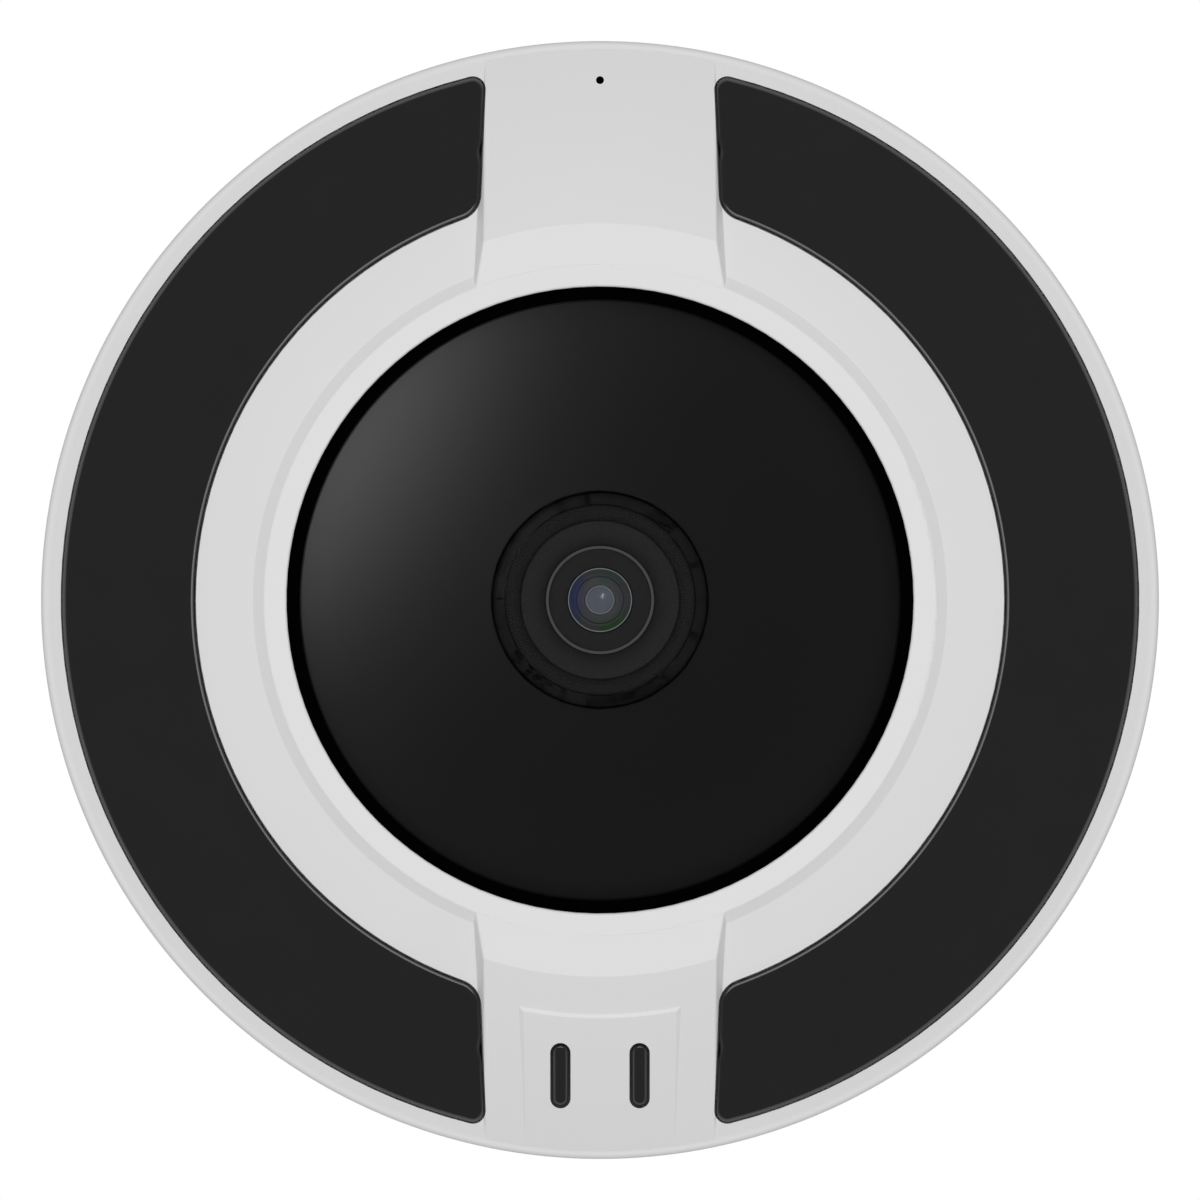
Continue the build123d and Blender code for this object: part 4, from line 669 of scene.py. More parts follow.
@dataclass(frozen=True)
class FlexFilm(Finish):
    """Polyimide ribbon: amber film over parallel copper tracks.

    The real tracks lie half a millimetre apart; they are drawn six times as coarse, so that they show.
    """

    track_mm: float = 3.142
    track_light: float = 1.7

    def surface(self, tree: Tree, place: Socket) -> Socket:
        """Tracks run along the ribbon as paler bands.

        Args:
            tree: the material's nodes.
            place: the point on Object coordinates.

        Returns:
            The shader.
        """
        tracks = add(tree, "TexWave", {"Vector": place, "Scale": waves_per_metre(self.track_mm)},
                     wave_type="BANDS", bands_direction="X")
        tone = add(tree, "Mix", {
            "Factor": tracks.outputs["Fac"], 6: linear(self.colour), 7: toned(self.colour, self.track_light)},
            data_type="RGBA")
        return add(tree, "BsdfPrincipled", {
            "Base Color": tone.outputs[2], "Roughness": self.roughness, "IOR": self.ior,
            "Coat Weight": 0.5, "Coat Roughness": 0.12}).outputs[0]


FINISHES: dict[str, Finish] = {
    # The white cover gets painted shade towards its rim.
    "white_cover": SparkErodedPlastic("moulded white polycarbonate", "#E8E8E8", 0.55, 1.58, specular=0.35,
                                      painted_rim_shade=0.055),
    "white_housing": PowderCoat("powder-coated white aluminium", "#E4E4E2", 0.5),
    "window_black": InfraredAcrylic("infrared-pass acrylic", "#181818", 0.28, 1.49),
    "insert_black": InfraredAcrylic("smoked indicator acrylic", "#161616", 0.28, 1.49, specular=0.3),
    "dome_black": SparkErodedPlastic("moulded black polycarbonate", "#181818", 0.5, 1.5, grain_mm=0.3,
                                     depth_mm=0.006, specular=0.06, cloud=0.08),
    "inner_black": GlassFilledNylon("glass-filled black nylon", "#121212", 0.6),
    # The bubble's deep colour is almost black: painted shade on its edge where it is seen edge on.
    "clear_dome": ClearMoulding("polished clear acrylic", "#FFFFFF", 0.02, 1.49, deep="#0A0A0A"),
    "lens_black": TurnedMetal("black anodised aluminium", "#141416", 0.38, metallic=0.6),
    "lens_glass": CoatedGlass("coated optical glass", "#16161A", 0.03, 1.6),
    "filter_red": CoatedGlass("dichroic infrared-cut glass", "#2A0C10", 0.03, 1.52, bloom="#5A2330"),
    "plate_steel": PlatedSteel("zinc-plated steel", "#B4B9BE", 0.38),
    "screw_steel": TurnedMetal("nickel-plated steel", "#B9B7B2", 0.25, spacing_mm=1.885, anisotropy=0.2),
    "rubber_black": MouldedRubber("black silicone rubber", "#101010", 0.75),
    "board_green": SolderMask("green solder mask", "#0B4326", 0.35),
    "chip_black": SparkErodedPlastic("moulded chip epoxy", "#1A1A1B", 0.6, 1.5, grain_mm=0.15,
                                     depth_mm=0.006),
    "pad_grey": MouldedRubber("ceramic-filled silicone pad", "#8C9096", 0.8),
    "shield_steel": PlatedSteel("tin-plated steel", "#C6C7C5", 0.28, crystal_mm=1.2, contrast=0.08),
    "terminal_green": SparkErodedPlastic("green polyamide", "#1F7A3C", 0.42, 1.53, grain_mm=0.3),
    "can_aluminium": TurnedMetal("drawn aluminium can", "#C9CBCD", 0.3, spacing_mm=1.257, anisotropy=0.4),
    "pillar_brass": TurnedMetal("turned brass", "#B5924C", 0.28, spacing_mm=1.257),
    "sensor_ceramic": SparkErodedPlastic("fired alumina", "#C9C5BC", 0.5, 1.76, grain_mm=0.1,
                                         depth_mm=0.004),
    "ribbon_amber": FlexFilm("polyimide film", "#8A4A12", 0.35, 1.7),
    "coil_copper": CopperWinding("enamelled copper wire", "#B4632E", 0.3),
    "lamp_white": SparkErodedPlastic("white lamp ceramic", "#E3E1D8", 0.4, 1.6, grain_mm=0.2,
                                     depth_mm=0.004),
    "lamp_clear": ClearMoulding("clear lamp acrylic", "#FFFFFF", 0.04, 1.49, tint="#E6ECEE"),
    "magnet_grey": SparkErodedPlastic("sintered ferrite", "#3A3B3D", 0.5, 2.2, grain_mm=0.2,
                                      depth_mm=0.008),
}

# Black foam with its tone pushed almost to nothing, so that the gap round the dome reads as shade: partly the
# foam's own black, partly painted shade.
SEAL_FOAM_PAINTED_SHADE = MouldedRubber("open-cell black foam", "#020202", 0.95, 1.1, dust=0.0004)
# Black foam whose tone is raised to make up for the shade of the recess round the collar: painted light.
TRAP_FOAM_PAINTED_LIGHT = MouldedRubber("black light-trap foam", "#262626", 0.9, 1.2, dust=0.001)
# Nodes whose finish isn't their slot's: the ring round the lens is faced with light-trap foam.
NODE_FINISHES: dict[str, Finish] = {"bubble_retainer": TRAP_FOAM_PAINTED_LIGHT}


def dress(piece: bpy.types.Object, finish: Finish) -> None:
    """Give every face of a piece one finish.

    Args:
        piece: the piece.
        finish: its finish.
    """
    made = finish.material()
    slots = piece.data.materials
    if not slots:
        slots.append(made)
        return
    for i in range(len(slots)):
        slots[i] = made


def dress_nodes() -> None:
    """Give every node of the frame the finish of its slot, or its own."""
    slots = {part["node"]: part["material_slot"] for part in frame["record"]["subparts"]}
    for name, piece in frame["nodes"].items():
        finish = NODE_FINISHES.get(name, FINISHES[slots[name]])
        dress(piece, finish)
        LOG.info("%s: %s", name, finish.name)


# Surfaces worked out with numpy


def arc(centre: Sequence[float], radius: float, start: float, end: float, spans: int) -> np.ndarray:
    """Points on a circular arc: the centre, and radius times the cosine and sine of an even run of angles.

    Args:
        centre: the arc's centre.
        radius: its radius in mm.
        start: the first angle.
        end: the last angle.
        spans: spans between them.

    Returns:
        Rows of two values.
    """
    turn = np.linspace(start, end, spans + 1)
    return np.asarray(centre, dtype=float) + radius * np.stack([np.cos(turn), np.sin(turn)], axis=1)


def eased(corners: Sequence[tuple[float, float]], radii: dict[int, float], spans: int = 6) -> np.ndarray:
    """Round chosen corners of a closed outline with arcs that touch both neighbours.

    The arc at a corner starts r / tan(a / 2) before it, where a is the corner's angle, and its centre
    lies r / sin(a / 2) along the bisector. It takes up EASE_SHARE of the shorter neighbour at most.

    Args:
        corners: the outline's corners in mm.
        radii: a radius in mm for the number of each corner that is rounded.
        spans: spans in each arc.

    Returns:
        The outline as rows of two values.
    """
    points = np.asarray(corners, dtype=float)
    rows: list[np.ndarray] = []
    for i, corner in enumerate(points):
        if i not in radii:
            rows.append(corner[None, :])
            continue
        back, on = points[i - 1] - corner, points[(i + 1) % len(points)] - corner
        back_length, on_length = np.linalg.norm(back), np.linalg.norm(on)
        back, on = back / back_length, on / on_length
        half = np.arccos(np.clip(back @ on, -1.0, 1.0)) / 2.0
        radius = min(radii[i], EASE_SHARE * min(back_length, on_length) * np.tan(half))
        reach = radius / np.tan(half)
        middle = corner + (back + on) / np.linalg.norm(back + on) * radius / np.sin(half)
        start, end = corner + back * reach - middle, corner + on * reach - middle
        first = np.arctan2(start[1], start[0])
        sweep = (np.arctan2(end[1], end[0]) - first + pi) % (2 * pi) - pi
        rows.append(arc(middle, radius, first, first + sweep, spans))
    return np.concatenate(rows)


def ring_faces(rings: int, points: int, closed: bool = False) -> np.ndarray:
    """Faces between neighbouring rings of points, ring by ring, where each ring is closed on itself.

    Args:
        rings: how many rings there are.
        points: how many points each ring has.
        closed: whether the last ring joins the first.

    Returns:
        One row of four point numbers for each face.
    """
    number = np.arange(rings * points).reshape(rings, points)
    if closed:
        number = np.concatenate([number, number[:1]])
    beside = np.roll(number, -1, axis=1)
    return np.stack([number[:-1], beside[:-1], beside[1:], number[1:]], axis=2).reshape(-1, 4)


def piece_from(name: str, points: np.ndarray, faces: np.ndarray, body: str,
               finishes: Sequence[Finish], bands: Optional[np.ndarray] = None) -> bpy.types.Object:
    """Make one closed piece, dress it and let it ride on its body.

    Args:
        name: the piece's name.
        points: one row for each point, in mm, x right, y back, z up.
        faces: one row of point numbers for each face.
        body: the body that carries it.
        finishes: one finish, or several that bands chooses from.
        bands: for each face, the number of its finish.

    Returns:
        The new object.
    """
    mesh = bpy.data.meshes.new(name)
    mesh.from_pydata((points * MM).tolist(), [], faces.tolist())
    if bands is not None:
        mesh.polygons.foreach_set("material_index", np.asarray(bands, dtype=np.int32))
    work = bmesh.new()
    work.from_mesh(mesh)
    bmesh.ops.remove_doubles(work, verts=work.verts, dist=MERGE_M)
    bmesh.ops.dissolve_degenerate(work, edges=work.edges, dist=MERGE_M)
    bmesh.ops.recalc_face_normals(work, faces=work.faces)
    work.to_mesh(mesh)
    work.free()
    mesh.shade_smooth()
    mesh.set_sharp_from_angle(angle=SHARP_TURN)
    piece = bpy.data.objects.new(name, mesh)
    bpy.context.scene.collection.objects.link(piece)
    for finish in finishes:
        mesh.materials.append(finish.material())
    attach(piece, body)
    LOG.info("%s: %d faces", name, len(mesh.polygons))
    return piece


def turned(name: str, profile: np.ndarray, body: str, finishes: Sequence[Finish],
           bands: Optional[Sequence[int]] = None, segments: int = 192) -> bpy.types.Object:
    """Carry a closed profile of radius and height round the lens axis.

    A point at radius r and height h goes to (r cos t, -h, r sin t) for every angle t.

    Args:
        name: the piece's name.
        profile: rows of radius and height in mm.
        body: the body that carries it.
        finishes: its finishes.
        bands: for each span of the profile, the number of its finish.
        segments: spans round the axis.

    Returns:
        The new object.
    """
    turns = np.linspace(0.0, 2 * pi, segments, endpoint=False)
    radius, height = profile[:, :1], profile[:, 1:]
    points = np.stack([radius * np.cos(turns), -height + 0.0 * turns, radius * np.sin(turns)], axis=2)
    chosen = None if bands is None else np.repeat(np.asarray(bands), segments)
    return piece_from(name, points.reshape(-1, 3), ring_faces(len(profile), segments, closed=True), body,
                      finishes, chosen)


def cap(radius: float, edge: float, low: float, spans: int = 24) -> np.ndarray:
    """Profile of a spherical cap from its edge to the axis: low plus the rise of the sphere.

    Args:
        radius: the sphere's radius in mm.
        edge: the cap's radius at its edge.
        low: the height of that edge.
        spans: spans along the cap.

    Returns:
        Rows of radius and height, from the edge inwards.
    """
    out = edge * np.cos(np.linspace(0.0, pi / 2, spans + 1))
    return np.stack([out, low + np.sqrt(radius ** 2 - out ** 2) - sqrt(radius ** 2 - edge ** 2)], axis=1)


def rolled_edge(distance: np.ndarray, width: float, depth: float) -> np.ndarray:
    """Drop of a rolled edge at a distance from the outline: a quarter ellipse, nothing past its width."""
    out = 1.0 - np.clip(distance / width, 0.0, 1.0)
    return depth * (1.0 - np.sqrt(1.0 - out ** 2))


def slab_between(name: str, top: np.ndarray, bottom: np.ndarray, edge: np.ndarray, body: str,
                 finishes: Sequence[Finish]) -> bpy.types.Object:
    """Close two grids of points, one over the other, into a slab with a wall round their outline.

    Args:
        name: the piece's name.
        top: rows by columns by x, y, z in mm.
        bottom: the same for the lower grid.
        edge: for each span of the grid, 1 where the top belongs to the edge.
        body: the body that carries it.
        finishes: two finishes, where the second is for the edge.

    Returns:
        The new object.
    """
    rows, columns = top.shape[:2]
    number = np.arange(rows * columns).reshape(rows, columns)
    quads = np.stack([number[:-1, :-1], number[:-1, 1:], number[1:, 1:], number[1:, :-1]], axis=2)
    quads = quads.reshape(-1, 4)
    loop = np.concatenate([number[0, :-1], number[:-1, -1], number[-1, :0:-1], number[:0:-1, 0]])
    on, shift = np.roll(loop, -1), rows * columns
    wall = np.stack([loop, on, on + shift, loop + shift], axis=1)
    points = np.concatenate([top.reshape(-1, 3), bottom.reshape(-1, 3)])
    faces = np.concatenate([quads, quads[:, ::-1] + shift, wall])
    bands = np.concatenate([edge.reshape(-1), np.zeros(len(faces) - edge.size, dtype=int)])
    return piece_from(name, points, faces, body, finishes, bands)


# The pieces


@dataclass
class Lens:
    """The lens head: barrel with its lip painted bright as a highlight, sloping trim ring and strongly curved
    front glass.

    Depths are measured from the barrel's front, and cell_steps is the stepped cell's profile as radius
    and depth, from outside inwards.
    """

    head_radius: float = 7.45
    head_depth: float = 6.4
    lip: float = 0.42
    lip_depth: float = 0.16
    thread_radius: float = 6.0
    tail_radius: float = 3.4
    seat_depth: float = 2.2
    shelf: float = 1.4
    clearance: float = 0.02
    trim_gap: float = 0.12
    trim_slope: float = 0.1
    slope_drop: float = 0.45
    glass_radius: float = 4.4
    glass_sphere: float = 6.0
    glass_rise: float = 0.08
    glass_foot: float = 2.0
    ground_width: float = 0.12
    hollow_radius: float = 3.5
    hollow_sphere: float = 4.6
    hollow_depth: float = 1.5
    cell_steps: tuple[tuple[float, float], ...] = (
        (3.35, 2.4), (3.2, 2.1), (2.2, 1.5), (2.08, 1.75), (1.97, 1.75))
    cell_gap: float = 0.05
    back_ease: float = 0.25
    front_ease: float = 0.14
    bore_ease: float = 0.06
    slope_ease: float = 0.08
    step_ease: float = 0.05
    second_radius: float = 1.95
    second_sphere: float = 3.2
    second_depth: float = 1.4
    second_edge: float = 0.1
    anodised: Finish = TurnedMetal("black anodised barrel", "#141416", 0.42, metallic=0.2, anisotropy=0.3)
    # Painted highlight: the lip's light grey stands in for the light that its edge catches.
    lip_painted_highlight: Finish = SparkErodedPlastic("anodised lip painted as a highlight", "#474747", 0.5, 1.5, grain_mm=0.2,
                                            depth_mm=0.002, specular=0.05)
    ground: Finish = SparkErodedPlastic("ground glass edge", "#7C7E80", 0.7, 1.5, grain_mm=0.1,
                                        depth_mm=0.003, specular=0.1)
    trim: Finish = SparkErodedPlastic("blackened trim ring", "#101010", 0.5, 1.5, grain_mm=0.2,
                                      depth_mm=0.004, specular=0.15)
    glass: Finish = ClearMoulding("coated front glass", "#E8ECFF", 0.01, 1.6, reflect=0.5)
    # The tints of both stacks are painted reflections of the coatings.
    cell: Finish = CoatedStack("coated lens stack", "#484A4C", 0.35)
    second: Finish = CoatedStack("coated second glass", "#565B66", 0.2, 1.6,
                                 painted_coating_reflections("#60646C", "#5A5F80", "#5C6A62"), specular=0.5)

    def build(self) -> bpy.types.Object:
        """Make the head's pieces and hide the nodes that they stand for.

        Returns:
            The second glass, which the catch light is meant for.
        """
        low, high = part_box("lens_barrel")
        tail, front = -high.y / MM, -low.y / MM
        seat = front - self.seat_depth - self.slope_drop / 2
        self.barrel(tail, seat, front)
        self.trim_ring(seat, front)
        self.front_glass(front)
        return self.stack(seat, front)

    def barrel(self, tail: float, seat: float, front: float) -> None:
        """Turn the barrel: tail, thread and head outside, seat and shelf inside, with its lip in front
        painted light grey as a highlight.

        Args:
            tail: height in mm of the barrel's tail.
            seat: height of the seat under the front glass.
            front: height of the barrel's front.
        """
        head_low, bore = front - self.head_depth, self.head_radius - self.lip
        corners = [(self.tail_radius, tail), (self.thread_radius, tail), (self.thread_radius, head_low),
                   (self.head_radius, head_low), (self.head_radius, front), (bore, front), (bore, seat),
                   (self.glass_radius, seat), (self.glass_radius, head_low + self.shelf),
                   (self.tail_radius, head_low + self.shelf)]
        profile = eased(corners, {3: self.back_ease, 4: self.front_ease, 5: self.bore_ease})
        # The lip's faces get the painted highlight.
        lip = (profile[:, 1] > front - self.lip_depth) & (profile[:, 0] > bore - self.clearance / 2)
        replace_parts(turned("lens_barrel_turned", profile, "lens",
                           [self.anodised, self.lip_painted_highlight], lip.astype(int)), "lens_barrel")

    def trim_ring(self, seat: float, front: float) -> None:
        """Turn the ring between glass and bore: its top slopes down from the glass outwards.

        Args:
            seat: height in mm of the seat under the front glass.
            front: height of the barrel's front.
        """
        outer, rim = self.head_radius - self.lip - self.clearance, self.glass_radius + self.trim_gap
        corners = [(self.glass_radius, seat), (outer, seat), (outer, front - self.slope_drop),
                   (rim + self.trim_slope, front - self.trim_slope), (rim, front + self.clearance),
                   (self.glass_radius, front - self.cell_gap)]
        profile = eased(corners, {3: self.slope_ease, 4: self.step_ease})
        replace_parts(turned("lens_trim_ring", profile, "lens", [self.trim]),
                    "lens_retaining_ring")

    def front_glass(self, front: float) -> None:
        """Turn the front meniscus: a cap outside, a hollow cap inside and a ground edge.

        Args:
            front: height in mm of the barrel's front.
        """
        edge, foot = self.glass_radius - self.clearance, front - self.glass_foot
        outer = cap(self.glass_sphere, edge - self.ground_width, front + self.glass_rise)
        hollow = cap(self.hollow_sphere, self.hollow_radius, front - self.hollow_depth)[::-1]
        meniscus = np.concatenate([outer, hollow, [(self.hollow_radius, foot), (edge, foot), (edge, front)]])
        bands = np.zeros(len(meniscus), dtype=int)
        bands[-2:] = 1
        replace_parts(turned("front_glass", meniscus, "lens", [self.glass, self.ground], bands),
                    "front_element")

    def stack(self, seat: float, front: float) -> bpy.types.Object:
        """Turn the stepped cell and the domed second glass that show through the front glass.

        Args:
            seat: height in mm of the seat under the front glass.
            front: height of the barrel's front.

        Returns:
            The second glass.
        """
        edge = self.glass_radius - self.clearance
        steps = [(edge, seat), (edge, front - self.glass_foot - self.cell_gap),
                 *((radius, front - depth) for radius, depth in self.cell_steps),
                 (self.cell_steps[-1][0], seat)]
        turned("lens_cell", eased(steps, {3: self.slope_ease, 4: self.step_ease}), "lens",
               [self.cell])
        rounded = cap(self.second_sphere, self.second_radius - self.ground_width, front - self.second_depth)
        edge_height = front - self.second_depth - self.second_edge
        dome = np.concatenate([[(self.second_radius, edge_height)], rounded,
                               [(0.0, seat), (self.second_radius, seat)]])
        bands = np.zeros(len(dome), dtype=int)
        bands[0] = 1
        return turned("second_glass", dome, "lens", [self.second, self.ground], bands)


@dataclass
class Collar:
    """Dark moulded collar that hides the lens holder, and the light-trap foam round it."""

    radius: float = 11.0
    lens_radius: float = 7.45
    holder_radius: float = 9.0
    holder_height: float = 4.2
    play: float = 0.04
    trap_radius: float = 13.1
    trap_foot: float = 3.4
    trap_gap: float = 0.1
    edge_ease: float = 0.35
    inner_ease: float = 0.1
    foot_ease: float = 0.3
    top_ease: float = 0.15
    finish: Finish = SparkErodedPlastic("matt black collar", "#202020", 0.6, 1.5, grain_mm=0.25,
                                        depth_mm=0.006, specular=0.12)

    def build(self) -> None:
        """Turn a stepped ring with an eased front edge, and a foam ring up to the bubble's flange."""
        low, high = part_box("lens_collar")
        base, front = -high.y / MM, -low.y / MM
        tight, wide = self.lens_radius + self.play, self.holder_radius + self.play
        step = base + self.holder_height
        corners = [(wide, base), (self.radius, base), (self.radius, front), (tight, front), (tight, step),
                   (wide, step)]
        profile = eased(corners, {2: self.edge_ease, 3: self.inner_ease})
        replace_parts(turned("collar_moulded", profile, "camera", [self.finish]), "lens_collar")
        foot, ceiling = base + self.trap_foot, -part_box("lens_bubble")[1].y / MM - self.trap_gap
        trap = [(self.radius, foot), (self.trap_radius, foot), (self.trap_radius, ceiling),
                (self.radius, ceiling)]
        turned("light_trap_foam", eased(trap, {1: self.foot_ease, 2: self.top_ease}), "camera",
               [TRAP_FOAM_PAINTED_LIGHT])


@dataclass
class ShroudSeal:
    """Foam gasket between the dome's flange and the cover's ring; its bulb shows near black in the gap, as
    painted shade.
    """

    inner_radius: float = 41.42
    gap_radius: float = 43.3
    bulb: float = 0.35
    bulb_ease: float = 0.3
    inner_ease: float = 0.25

    def build(self) -> None:
        """Turn a flat ring with a low rounded bulb on its inner side."""
        low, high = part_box("shroud_seal")
        base, top, outer = -high.y / MM, -low.y / MM, high.x / MM
        corners = [(self.inner_radius, base), (outer, base), (outer, top), (self.gap_radius, top),
                   (self.gap_radius - self.bulb, top + self.bulb), (self.inner_radius, top + self.bulb)]
        profile = eased(corners, {4: self.bulb_ease, 5: self.inner_ease})
        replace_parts(turned("shroud_seal_foam", profile, "cover", [SEAL_FOAM_PAINTED_SHADE]), "shroud_seal")


@dataclass
class Bubble:
    """Clear bubble over the lens: a half sphere on a short neck, with a clamping flange."""

    radius: float = 14.9
    wall: float = 2.0
    flange: float = 2.6
    flange_thickness: float = 2.0
    flange_ease: float = 0.2
    root_ease: float = 0.15
    spans: int = 48
    segments: int = 256

    def build(self) -> None:
        """Turn the flange and neck, the outer half sphere, then the inner one back to the neck."""
        low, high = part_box("lens_bubble")
        top, base = -low.y / MM, -high.y / MM
        centre = (0.0, top - self.radius)
        inner_radius, flange = self.radius - self.wall, self.radius + self.flange
        outer = arc(centre, self.radius, 0.0, pi / 2, self.spans)
        inner = arc(centre, inner_radius, 0.0, pi / 2, self.spans)[::-1]
        foot = eased([(inner_radius, base), (flange, base), (flange, base + self.flange_thickness),
                      (self.radius, base + self.flange_thickness)],
                     {1: self.flange_ease, 2: self.flange_ease, 3: self.root_ease})
        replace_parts(turned("bubble_moulding", np.concatenate([foot, outer, inner]), "cover",
                           [FINISHES["clear_dome"]], segments=self.segments), "lens_bubble")


@dataclass
class CoverSurface:
    """The cover's own surfaces, as heights over the distance from the lens axis."""

    rim_radius: float = 76.2
    rim_drop: float = 13.425
    cone: float = tan(radians(23.0))
    lean: float = cos(radians(23.0))
    bridge_slope: float = 0.52357
    panel_start: float = 57.0
    panel_rise: float = 0.4

    def rim_height(self) -> float:
        """Height of the rim in mm, below the cover's flat ring."""
        return -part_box("front_cover")[0].y / MM - self.rim_drop

    def cone_height(self, radius: np.ndarray) -> np.ndarray:
        """Height of the cone: it rises in a straight line from the rim inwards."""
        return self.rim_height() + (self.rim_radius - radius) * self.cone

    def panel_height(self, radius: np.ndarray) -> np.ndarray:
        """Height of the raised panel: the bridge's slope and a rise that runs out at the rim."""
        share = (self.rim_radius - radius) / (self.rim_radius - self.panel_start)
        return self.rim_height() + (self.rim_radius - radius) * self.bridge_slope + self.panel_rise * share


@dataclass
class CoverRim:
    """The cover's outer edge: a turned skin over the CAD rim, so that the round edge runs true."""

    surface: CoverSurface
    inner: float = 75.6
    edge_radius: float = 0.8
    low: float = 12.15
    proud: float = 0.02
    skin: float = 0.6
    spans: int = 12
    segments: int = 480

    def build(self) -> bpy.types.Object:
        """Cone strip, quarter round and side wall outside, and the same line a skin further in.

        Returns:
            The new object.
        """
        middle, rim = self.surface.rim_radius, self.surface.rim_height()
        reach, cone = self.edge_radius + self.proud, float(self.surface.cone_height(self.inner))
        quarter = arc((middle, rim - self.edge_radius), reach, pi / 2, 0.0, self.spans)
        outer = middle + reach
        profile = np.concatenate([[(self.inner, cone + self.proud)], quarter, [
            (outer, self.low), (outer - self.skin, self.low), (outer - self.skin, rim - self.edge_radius),
            (self.inner, cone - self.skin)]])
        return turned("cover_rim", profile, "cover", [FINISHES["white_cover"]],
                      segments=self.segments)


